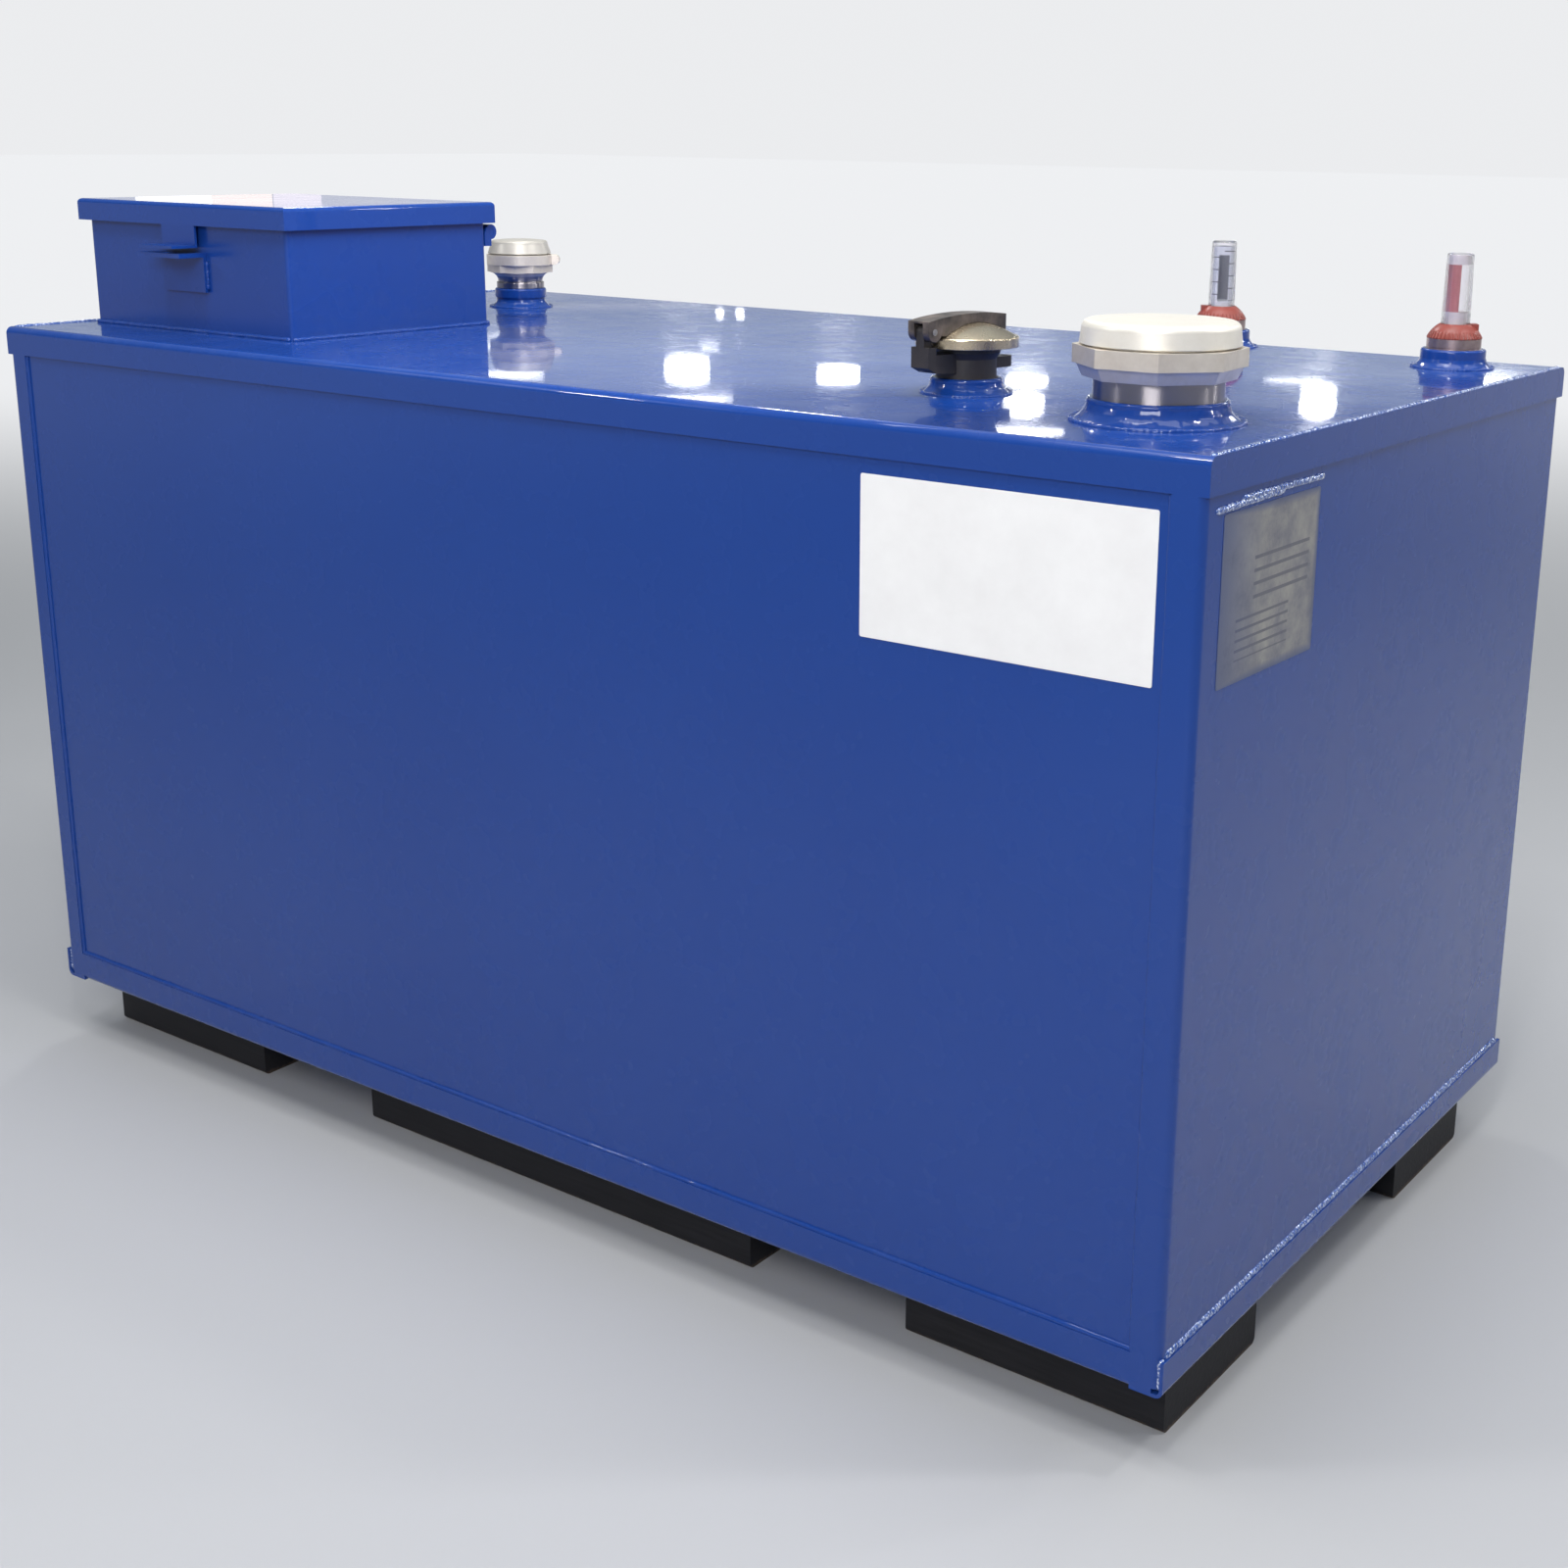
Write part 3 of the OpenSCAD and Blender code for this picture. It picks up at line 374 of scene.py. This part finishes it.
# Width and pitch of each kind of bead
lip_bead = (0.0098, 0.0066)
edge_bead = (0.0060, 0.0060)
stitch_bead = (0.0068, 0.0052)
corner_bead = (0.0078, 0.0050)
for side, way in (("right", 1), ("left", -1)):
    x_edge = way * (deck_hi.x - edge_in)
    x_lip = way * (deck_hi.x - lip_in)
    x_corner = way * (deck_hi.x - corner_in)
    z_lip = pan_hi.z + 0.0018
    z_edge = deck_z - 0.0014
    beads = [
        straight_weld((x_lip, deck_lo.y + lip_short, z_lip),
                      (x_lip, deck_hi.y - lip_short, z_lip), *lip_bead),
        straight_weld((x_edge, deck_lo.y + edge_short, z_edge),
                      (x_edge, deck_hi.y - edge_short, z_edge), *edge_bead),
    ]
    # The stitch drops a little towards the front corner, with a second pass just above it
    for start, end, z_start, z_end in ((0.019, 0.150, -0.0135, -0.0120), (0.066, 0.224, -0.0090, -0.0099)):
        beads.append(straight_weld((x_edge, deck_lo.y + start, deck_lo.z + z_start),
                                   (x_edge, deck_lo.y + end, deck_lo.z + z_end), *stitch_bead))
    for y in (deck_lo.y + corner_in, deck_hi.y - corner_in):
        beads.append(straight_weld((x_corner, y, pan_lo.z + 0.006), (x_corner, y, pan_hi.z + 0.002),
                                   *corner_bead))
    join("end_welds_" + side, beads, weld_enamel)


# ---------------------------------------------------------------- seams of the long sides
# Thin weld lines, dressed flat and painted over, where the pan's lip and the ends' flanges lap the
# front and back sheets.
def seam_fill(start, end, width=0.0056, step=0.012):
    """A smooth bead from start to end, with a ring of points at every step."""
    start, end = Vector(start), Vector(end)
    bpy.ops.object.select_all(action="DESELECT")
    bpy.ops.mesh.primitive_cylinder_add(vertices=10, radius=width / 2, depth=step,
                                        end_fill_type="NOTHING", location=(step / 2, 0, 0),
                                        rotation=(0, math.pi / 2, 0))
    bead = bpy.context.object
    bpy.ops.object.transform_apply(location=True, rotation=True, scale=True)
    row = bead.modifiers.new("row", "ARRAY")
    row.fit_type, row.fit_length = "FIT_LENGTH", (end - start).length - step
    row.use_relative_offset, row.use_constant_offset = False, True
    row.constant_offset_displace = (step, 0, 0)
    row.use_merge_vertices, row.merge_threshold = True, 0.0001
    bpy.ops.object.modifier_apply(modifier=row.name)
    bead.rotation_euler = (end - start).to_track_quat("X", "Z").to_euler()
    bead.location = start
    bpy.ops.object.transform_apply(location=True, rotation=True, scale=False)
    roughen(bead)
    return bead


sheet = 0.0034
# Half the length of the level seam, which ends where the ends' flanges begin
band_x = deck_hi.x - 0.033
upright_x = band_x - 0.0004
for side, y in (("front", deck_lo.y + sheet), ("back", deck_hi.y - sheet)):
    join("seams_" + side, [
        seam_fill((-band_x, y, pan_hi.z + 0.001), (band_x, y, pan_hi.z + 0.001)),
        seam_fill((-upright_x, y, pan_hi.z + 0.002), (-upright_x, y, deck_lo.z - 0.001)),
        seam_fill((upright_x, y, pan_hi.z + 0.002), (upright_x, y, deck_lo.z - 0.001)),
    ], blue)


# ---------------------------------------------------------------- skids
# Closed channels of folded plate, brushed with black enamel that is scuffed through at the foot.
# Each is stitched to the floor pan with short beads at its ends.
black, tree, skin = shader("black_enamel")
where = add(tree, "ShaderNodeTexCoord").outputs["Object"]
along = add(tree, "ShaderNodeMapping", {"Vector": where, "Scale": (4, 60, 60)}).outputs["Vector"]
brushed = mottle(tree, along, 4.0, 5.0)
tone = two_tones(tree, brushed, (0.012, 0.012, 0.014), (0.034, 0.033, 0.037))
height = add(tree, "ShaderNodeSeparateXYZ", {"Vector": where}).outputs["Z"]
low = spread(tree, height, 0.010, 0.0)
chips = mottle(tree, where, 110.0, 7.0, 0.7)
scuff = spread(tree, sums(tree, "MULTIPLY", low, chips), 0.28, 0.42)
worn = mixed(tree, scuff, tone.outputs["Color"], (0.09, 0.065, 0.05))
tree.links.new(worn, skin.inputs["Base Color"])
tree.links.new(spread(tree, brushed, to_low=0.40, to_high=0.65), skin.inputs["Roughness"])
tree.links.new(relief(tree, brushed, 0.0006, strength=0.5), skin.inputs["Normal"])
skin.inputs["Specular IOR Level"].default_value = 0.15
skids = [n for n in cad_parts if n.endswith("_skid")]
dress(black, *skids)

skid_bead = (0.006, 0.0036)
# A stitch starts and stops this far from the skid's end
near_end, far_end = 0.01, 0.07
for skid in skids:
    lo, hi = (Vector(v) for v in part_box(skid))
    z = hi.z - 0.0015
    stitches = []
    for y in (lo.y - 0.0005, hi.y + 0.0005):
        for x0, x1 in ((lo.x + near_end, lo.x + far_end), (hi.x - far_end, hi.x - near_end)):
            stitches.append(straight_weld((x0, y, z), (x1, y, z), *skid_bead))
    join(skid + "_stitches", stitches, black)


# ---------------------------------------------------------------- spill box
# A box of folded sheet welded to the deck all round its foot, sprayed with the same enamel but
# duller than its lid. Its bracket and its hinge's feet are welded on, and the hinge's pin is
# painted over.
box_blue = gloss_enamel("box_enamel", (0.010, 0.054, 0.28), (0.007, 0.042, 0.24),
                        roughness=0.28, clear=0.18, hazy=0.30, waves=0.0003)
dress(box_blue, "spill_box", "lid_hasp", "lock_bracket", "fixed_hinge_knuckles", "moving_hinge_knuckles")
dress(blue, "spill_box_lid", "lid_hinge_pin")
box_lo, box_hi = (Vector(v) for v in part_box("spill_box"))
# The bead stands this far off the box and above the deck
out = 0.0012
foot = deck_z + out
join("spill_box_weld", [
    straight_weld((box_lo.x, box_lo.y - out, foot), (box_hi.x, box_lo.y - out, foot)),
    straight_weld((box_hi.x + out, box_lo.y, foot), (box_hi.x + out, box_hi.y, foot)),
    straight_weld((box_hi.x, box_hi.y + out, foot), (box_lo.x, box_hi.y + out, foot)),
    straight_weld((box_lo.x - out, box_hi.y, foot), (box_lo.x - out, box_lo.y, foot)),
], box_blue)

# One bead down each side of the bracket, just off its sheet
small_bead = (0.0045, 0.0040)
side_out = 0.0008
lo, hi = (Vector(v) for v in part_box("lock_bracket"))
y = hi.y - 0.001
join("lock_bracket_welds", [
    straight_weld((x, y, lo.z + 0.002), (x, y, hi.z - 0.008), *small_bead)
    for x in (lo.x - side_out, hi.x + side_out)], box_blue)

# One bead under each fixed knuckle, and they are every other one of the barrel's seven
lo, hi = (Vector(v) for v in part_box("fixed_hinge_knuckles"))
knuckles = 7
knuckle_gap = 0.0006
knuckle_pitch = (hi.x - lo.x + knuckle_gap) / knuckles
bead_start, bead_end = 0.002, 0.048
y, z = lo.y + 0.001, lo.z - 0.0006
join("hinge_foot_welds", [
    straight_weld((x + bead_start, y, z), (x + bead_end, y, z), *small_bead)
    for x in (lo.x + k * knuckle_pitch for k in (0, 2, 4, 6))], box_blue)


# ---------------------------------------------------------------- plug in the box
# A square-headed plug of black malleable iron, cast and then threaded, screwed into the filling
# neck inside the spill box.
def metal(name, colour, stain, rough, fineness, grain, metallic=1.0, coat=0.0):
    """Bare or blackened metal with stains, uneven polish and a cast or drawn grain."""
    material, tree, skin = shader(name)
    where = add(tree, "ShaderNodeTexCoord").outputs["Object"]
    cloud = mottle(tree, where, 45.0, 6.0, 0.62)
    tree.links.new(mixed(tree, spread(tree, cloud, 0.38, 0.66), colour, stain), skin.inputs["Base Color"])
    polish = spread(tree, cloud, 0.3, 0.7, to_low=rough * 0.8, to_high=rough * 1.35)
    tree.links.new(polish, skin.inputs["Roughness"])
    soft_edges = add(tree, "ShaderNodeBevel", {"Radius": 0.0008}, samples=4).outputs["Normal"]
    pits = mottle(tree, where, fineness, 3.0)
    tree.links.new(relief(tree, pits, grain, soft_edges), skin.inputs["Normal"])
    skin.inputs["Metallic"].default_value = metallic
    skin.inputs["Coat Weight"].default_value = coat
    skin.inputs["Coat Roughness"].default_value = 0.2
    return material


iron = metal("black_iron", (0.022, 0.019, 0.019), (0.040, 0.033, 0.030),
             rough=0.50, fineness=420.0, grain=0.00025, metallic=0.0, coat=0.1)
dress(iron, "box_fill_plug")


# ---------------------------------------------------------------- couplings
# Half couplings turned from bar, welded round on the deck and painted with it. The weld runs out
# in a smooth flare from the coupling's side, with a row of puddles at its toe.
couplings = ["small_vent_coupling", "large_vent_coupling", "fill_coupling", "level_gauge_bung",
             "leak_gauge_bung", "box_fill_neck"]
dress(blue, *couplings)
for name in couplings:
    lo, hi = (Vector(v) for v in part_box(name))
    mid = (lo + hi) / 2
    wall = (hi.x - lo.x) / 2 - 0.0004
    if name == "small_vent_coupling":
        wall -= 0.002  # the bead round its top is wider than its foot
    leg = 0.015 if name == "large_vent_coupling" else 0.010
    rise = leg * 1.1
    # Radius and height of the flare, from the deck up
    outline = ((wall + leg, -0.0008), (wall + leg * 0.52, rise * 0.22),
               (wall + leg * 0.18, rise * 0.55), (wall, rise))
    cones = []
    for (r_low, z_low), (r_high, z_high) in zip(outline, outline[1:]):
        bpy.ops.mesh.primitive_cone_add(vertices=72, radius1=r_low, radius2=r_high,
                                        depth=z_high - z_low, end_fill_type="NOTHING",
                                        location=(mid.x, mid.y, deck_z + (z_low + z_high) / 2))
        cones.append(bpy.context.object)
    bpy.ops.object.select_all(action="DESELECT")
    for cone in cones:
        cone.select_set(True)
    bpy.ops.object.join()
    bpy.ops.object.transform_apply(location=True, rotation=False, scale=False)
    bpy.ops.object.mode_set(mode="EDIT")
    bpy.ops.mesh.select_all(action="SELECT")
    bpy.ops.mesh.remove_doubles(threshold=0.00005)
    bpy.ops.mesh.subdivide(number_cuts=3, smoothness=0.6)
    bpy.ops.object.mode_set(mode="OBJECT")
    flare = bpy.context.object
    roughen(flare, 0.014, leg * 0.10)
    toe_radius = wall + leg * 0.86
    toe_width, toe_pitch = leg * 0.42, leg * 0.45
    toe = ring_weld((mid.x, mid.y, deck_z), toe_radius, toe_width, toe_pitch)
    join(name + "_weld", [flare, toe], blue)


# ---------------------------------------------------------------- vents
# Two weighted emergency vents of cast aluminium with a fine sand grain, turned on the cover and
# the seat. A bright turned steel neck screws each one into its coupling.
def turned_alloy(name, centre, colour, stain, rough, metallic, rings, neck_top=0.0):
    """Cast and turned alloy, with bright turned steel below neck_top."""
    material, tree, skin = shader(name)
    where = add(tree, "ShaderNodeTexCoord").outputs["Object"]
    cloud = mottle(tree, where, 32.0, 6.0, 0.6)
    shade = mixed(tree, spread(tree, cloud, 0.35, 0.7), colour, stain)
    polish = spread(tree, cloud, 0.3, 0.7, to_low=rough * 0.8, to_high=rough * 1.3)
    height = add(tree, "ShaderNodeSeparateXYZ", {"Vector": where}).outputs["Z"]
    on_neck = sums(tree, "LESS_THAN", height, neck_top)
    tree.links.new(mixed(tree, on_neck, shade, (0.40, 0.37, 0.38)), skin.inputs["Base Color"])
    sheen = add(tree, "ShaderNodeMix", {0: on_neck, 2: polish, 3: 0.30})
    tree.links.new(sheen.outputs[0], skin.inputs["Roughness"])
    tree.links.new(spread(tree, on_neck, to_low=metallic), skin.inputs["Metallic"])
    # The turned neck draws each light out along its axis
    tree.links.new(sums(tree, "MULTIPLY", on_neck, 0.95), skin.inputs["Anisotropic"])
    skin.inputs["Anisotropic Rotation"].default_value = 0.25
    # Turning marks round the axis, and a fine sand grain
    local = add(tree, "ShaderNodeMapping", {"Vector": where, "Location": (-centre[0], -centre[1], 0)})
    flat = vector_sums(tree, "MULTIPLY", local.outputs["Vector"], (1, 1, 0))
    away = vector_sums(tree, "LENGTH", flat)
    marks = add(tree, "ShaderNodeTexNoise", {"W": away, "Scale": 900.0, "Detail": 2.0},
                noise_dimensions="1D")
    soft_edges = add(tree, "ShaderNodeBevel", {"Radius": 0.0008}, samples=4).outputs["Normal"]
    turned = relief(tree, marks.outputs["Fac"], rings, soft_edges)
    grain = relief(tree, mottle(tree, where, 700.0, 3.0), 0.00006, turned)
    tree.links.new(grain, skin.inputs["Normal"])
    return material


cover_alloy, cover_stain = Vector((0.90, 0.85, 0.76)), Vector((0.78, 0.73, 0.64))
body_alloy, body_stain = Vector((0.80, 0.73, 0.64)), Vector((0.64, 0.57, 0.49))
# Both vents are the same alloy; the small vent's cover is made darker, as painted shade, and its body
# lighter, as painted light
for vent, neck, cover_tone, body_tone in (
        ("small_vent", 0.041, 0.66, 1.20), ("large_vent", 0.037, 1.0, 1.05)):
    lo, hi = (Vector(v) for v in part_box(vent + "_cover"))
    middle = (lo + hi) / 2
    cover = turned_alloy(vent + "_turned", middle, cover_alloy * cover_tone, cover_stain * cover_tone,
                         rough=0.36, metallic=0.3, rings=0.00002)
    body = turned_alloy(vent + "_cast", middle, body_alloy * body_tone, body_stain * body_tone,
                        rough=0.42, metallic=0.6, rings=0.00001, neck_top=deck_z + neck)
    dress(cover, vent + "_cover")
    dress(body, vent + "_body")


# ---------------------------------------------------------------- fill cap
# A body and an arm of malleable iron, blackened, with the arm worn bright by hands, over a domed
# cover of cast brass. Arm and cover swing up on a drawn steel pin, and a padlock holds them down.
worn_iron = metal("handled_iron", (0.040, 0.033, 0.030), (0.17, 0.135, 0.115),
                  rough=0.40, fineness=420.0, grain=0.0002, metallic=0.3, coat=0.2)
brass = metal("cast_brass", (0.74, 0.63, 0.45), (0.54, 0.45, 0.33),
              rough=0.25, fineness=600.0, grain=0.00005, metallic=0.95)
rod = metal("drawn_steel", (0.46, 0.46, 0.48), (0.34, 0.33, 0.33),
            rough=0.28, fineness=900.0, grain=0.00002)
dress(iron, "fill_cap_body")
dress(worn_iron, "fill_cap_arm")
dress(brass, "fill_cap_cover")
dress(rod, "fill_cap_pin")


# ---------------------------------------------------------------- gauges
# A plated fitting screwed into its bung, a moulded red collar and a clear moulded tube over it.
# In the level gauge a white scale card curls round the float's window, and the leak gauge has a
# red half card.
plated = metal("yellowed_zinc", (0.48, 0.37, 0.36), (0.32, 0.24, 0.24),
               rough=0.30, fineness=500.0, grain=0.00004, metallic=0.85)
dress(plated, "level_gauge_fitting", "leak_gauge_fitting")

# Grip ribs round a collar
ribs = 40.0
for gauge in ("level_gauge", "leak_gauge"):
    lo, hi = (Vector(v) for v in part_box(gauge + "_fitting"))
    red, tree, skin = shader(gauge + "_red")
    where = add(tree, "ShaderNodeTexCoord").outputs["Object"]
    swirl = mottle(tree, where, 60.0, 4.0)
    tone = two_tones(tree, swirl, (0.235, 0.042, 0.030), (0.32, 0.064, 0.047))
    tree.links.new(tone.outputs["Color"], skin.inputs["Base Color"])
    tree.links.new(spread(tree, swirl, to_low=0.25, to_high=0.5), skin.inputs["Roughness"])
    # The ribs stand only at the collar's foot
    local = add(tree, "ShaderNodeMapping", {
        "Vector": where, "Location": (-(lo.x + hi.x) / 2, -(lo.y + hi.y) / 2, -hi.z)})
    axes = add(tree, "ShaderNodeSeparateXYZ", {"Vector": local.outputs["Vector"]})
    turn = sums(tree, "ARCTAN2", axes.outputs["Y"], axes.outputs["X"])
    rib = sums(tree, "SINE", sums(tree, "MULTIPLY", turn, ribs))
    at_foot = spread(tree, axes.outputs["Z"], 0.008, 0.005)
    ribbed = relief(tree, sums(tree, "MULTIPLY", rib, at_foot), 0.0006)
    grain = relief(tree, mottle(tree, where, 900.0, 2.0), 0.00003, ribbed)
    tree.links.new(grain, skin.inputs["Normal"])
    dress(red, gauge + "_collar")

clear, tree, skin = shader("clear_plastic")
where = add(tree, "ShaderNodeTexCoord").outputs["Object"]
upright = add(tree, "ShaderNodeMapping", {"Vector": where, "Scale": (200, 200, 8)}).outputs["Vector"]
streak = mottle(tree, upright, 1.0, 3.0)
tone = two_tones(tree, streak, (0.90, 0.88, 0.95), (0.99, 0.98, 1.0))
tree.links.new(tone.outputs["Color"], skin.inputs["Base Color"])
finish(tree, skin, streak, smooth=0.01, rough=0.06, depth=0.00003)
skin.inputs["Transmission Weight"].default_value = 1.0
skin.inputs["Alpha"].default_value = 0.62
skin.inputs["IOR"].default_value = 1.49
dress(clear, "level_gauge_tube", "leak_gauge_tube")

# White card with ticks staggered on its left and right; its inside, seen through the window, is painted
# grey as painted shade
card, tree, skin = shader("scale_card")
lo, hi = (Vector(v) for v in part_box("level_gauge_scale"))
centre = (lo + hi) / 2
tick_gap = 0.014
tick_height = 0.0011
plug_top = 0.0215
window_depth = 0.003
window_turn = math.radians(-60)
window_out = (math.cos(window_turn), math.sin(window_turn), 0)
window_right = (-math.sin(window_turn), math.cos(window_turn), 0)
where = add(tree, "ShaderNodeTexCoord").outputs["Object"]
local = add(tree, "ShaderNodeMapping", {
    "Vector": where, "Location": (-centre.x, -centre.y, -lo.z)}).outputs["Vector"]
rise = add(tree, "ShaderNodeSeparateXYZ", {"Vector": local}).outputs["Z"]
right_side = sums(tree, "GREATER_THAN", vector_sums(tree, "DOT_PRODUCT", local, window_right), 0.0)
stagger = sums(tree, "MULTIPLY_ADD", right_side, tick_gap / 2, rise)
tick = sums(tree, "LESS_THAN", sums(tree, "MODULO", stagger, tick_gap), tick_height)
over_plug = sums(tree, "GREATER_THAN", rise, plug_top)
in_front = sums(tree, "GREATER_THAN", vector_sums(tree, "DOT_PRODUCT", local, window_out), window_depth)
ink = sums(tree, "MULTIPLY", sums(tree, "MULTIPLY", tick, over_plug), in_front)
specks = mottle(tree, where, 240.0, 4.0)
paper = two_tones(tree, specks, (0.76, 0.78, 0.82), (0.90, 0.91, 0.93))
# Painted shade: the card's inside behind the window is painted grey
behind = sums(tree, "SUBTRACT", over_plug, in_front, clamp=True)
paper_and_painted_shade = mixed(tree, behind, paper.outputs["Color"], (0.30, 0.31, 0.35))
tree.links.new(mixed(tree, ink, paper_and_painted_shade, (0.10, 0.10, 0.12)), skin.inputs["Base Color"])
finish(tree, skin, specks, smooth=0.45, rough=0.7, depth=0.00003)
dress(card, "level_gauge_scale")

# Red card between two white plugs, whose edges stand at these shares of the height
lower_plug_top = 0.318
upper_plug_foot = 0.889
plug_white = (0.86, 0.80, 0.81)
pink, tree, skin = shader("leak_card")
lo, hi = (Vector(v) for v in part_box("leak_gauge_float"))
where = add(tree, "ShaderNodeTexCoord").outputs["Object"]
rise = add(tree, "ShaderNodeSeparateXYZ", {"Vector": where}).outputs["Z"]
share = spread(tree, rise, lo.z, hi.z)
bands = two_tones(tree, share, plug_white, (0.60, 0.22, 0.23), end=lower_plug_top)
bands.color_ramp.interpolation = "CONSTANT"
bands.color_ramp.elements.new(upper_plug_foot).color = (*plug_white, 1)
specks = mottle(tree, where, 200.0, 4.0)
fade = add(tree, "ShaderNodeMix", {0: specks, 6: bands.outputs["Color"]},
           data_type="RGBA", blend_type="MULTIPLY")
fade.inputs[7].default_value = (0.86, 0.84, 0.85, 1)
tree.links.new(fade.outputs[2], skin.inputs["Base Color"])
finish(tree, skin, specks, smooth=0.35, rough=0.6, depth=0.00003)
dress(pink, "leak_gauge_float")


# ---------------------------------------------------------------- front sign
# A plate of white vinyl with rounded corners, stuck on the front sheet by its own glue and not
# quite flat. It is left bare.
def plate(name, middle, size, turn, corner, edge):
    """A flat plate with rounded corners and softened edges, turned to stand on its wall."""
    bpy.ops.object.select_all(action="DESELECT")
    bpy.ops.mesh.primitive_plane_add(size=1, location=(0, 0, 0))
    piece = bpy.context.object
    piece.scale = (size[0], size[1], 1)
    bpy.ops.object.transform_apply(location=False, rotation=False, scale=True)
    bpy.ops.object.mode_set(mode="EDIT")
    bpy.ops.mesh.select_all(action="SELECT")
    bpy.ops.mesh.bevel(offset=corner, segments=5, affect="VERTICES")
    bpy.ops.object.mode_set(mode="OBJECT")
    thick = piece.modifiers.new("thick", "SOLIDIFY")
    thick.thickness, thick.offset = size[2], 0
    bpy.ops.object.modifier_apply(modifier=thick.name)
    round_off = piece.modifiers.new("edge", "BEVEL")
    round_off.width, round_off.segments, round_off.limit_method = edge, 2, "ANGLE"
    bpy.ops.object.modifier_apply(modifier=round_off.name)
    piece.rotation_euler = turn
    piece.location = middle
    bpy.ops.object.transform_apply(location=True, rotation=True, scale=False)
    piece.name = name
    return piece


sign_size = (0.291, 0.145, 0.0008)
sign_middle = (0.6055, deck_lo.y + sheet - sign_size[2] / 2, 0.784)
facing_front = (math.pi / 2, 0, 0)
sign = plate("front_sign", sign_middle, sign_size, facing_front, corner=0.002, edge=0.0003)
vinyl, tree, skin = shader("white_vinyl")
where = add(tree, "ShaderNodeTexCoord").outputs["Object"]
grime = mottle(tree, where, 14.0, 7.0, 0.65)
tone = two_tones(tree, grime, (0.84, 0.825, 0.825), (0.91, 0.90, 0.90), start=0.3, end=0.7)
tree.links.new(tone.outputs["Color"], skin.inputs["Base Color"])
tree.links.new(spread(tree, grime, to_low=0.28, to_high=0.45), skin.inputs["Roughness"])
tree.links.new(relief(tree, mottle(tree, where, 11.0, 1.0), 0.0006), skin.inputs["Normal"])
sign.data.materials.append(vinyl)
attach(sign, "tank")


# ---------------------------------------------------------------- end label
# A metal foil data label stuck on the right end, dulled, yellowed and caught by blue overspray at
# its edges. Its printing is left off but for blank ruled lines.
label_size = (0.183, 0.144, 0.0005)
label_middle = (deck_hi.x - sheet + label_size[2] / 2, -0.2945, 0.781)
facing_right = (math.pi / 2, 0, math.pi / 2)
label = plate("end_label", label_middle, label_size, facing_right, corner=0.003, edge=0.0002)
foil, tree, skin = shader("dull_foil")
where = add(tree, "ShaderNodeTexCoord").outputs["Object"]
stains = mottle(tree, where, 26.0, 8.0, 0.72)
tone = two_tones(tree, stains, (0.17, 0.175, 0.22), (0.40, 0.385, 0.36), start=0.33, end=0.66)
# Two blocks of ruled lines, measured from the label's near lower corner
near_corner = (0, label_middle[1] - label_size[0] / 2, label_middle[2] - label_size[1] / 2)
to_corner = [-v for v in near_corner]
place = add(tree, "ShaderNodeMapping", {"Vector": where, "Location": to_corner}).outputs["Vector"]
place = add(tree, "ShaderNodeSeparateXYZ", {"Vector": place})
across, up = place.outputs["Y"], place.outputs["Z"]


def ruled_block(left, right, foot, top, pitch, stroke):
    """Level ruled lines between two sides and two heights of the label."""
    line = sums(tree, "LESS_THAN", sums(tree, "MODULO", up, pitch), stroke)
    for way, edge, keep in ((up, foot, "GREATER_THAN"), (up, top, "LESS_THAN"),
                            (across, left, "GREATER_THAN"), (across, right, "LESS_THAN")):
        line = sums(tree, "MULTIPLY", line, sums(tree, keep, way, edge))
    return line


upper_block = ruled_block(0.060, 0.166, 0.062, 0.104, pitch=0.0110, stroke=0.0030)
lower_block = ruled_block(0.030, 0.130, 0.018, 0.056, pitch=0.0085, stroke=0.0024)
ink = sums(tree, "MAXIMUM", upper_block, lower_block)
faint = sums(tree, "MULTIPLY", ink, stains)
ruled = mixed(tree, faint, tone.outputs["Color"], (0.035, 0.045, 0.10))
# Blue overspray creeps in from the near side and from the edges, by these lengths
side_reach = 0.075
edge_reach = 0.008
near_side = spread(tree, across, side_reach, 0.0, to_high=0.75)
to_edge = across
for way, size in ((across, label_size[0]), (up, label_size[1])):
    to_edge = sums(tree, "MINIMUM", to_edge, sums(tree, "SUBTRACT", size, way))
to_edge = sums(tree, "MINIMUM", to_edge, up)
at_edge = spread(tree, to_edge, edge_reach, 0.0, to_high=0.9)
mist = sums(tree, "MULTIPLY", sums(tree, "MAXIMUM", at_edge, near_side), stains)
mist = sums(tree, "MULTIPLY", mist, 1.6, clamp=True)
tree.links.new(mixed(tree, mist, ruled, (0.020, 0.062, 0.24)), skin.inputs["Base Color"])
finish(tree, skin, stains, smooth=0.22, rough=0.5, depth=0.0003)
skin.inputs["Metallic"].default_value = 0.4
label.data.materials.append(foil)
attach(label, "tank")
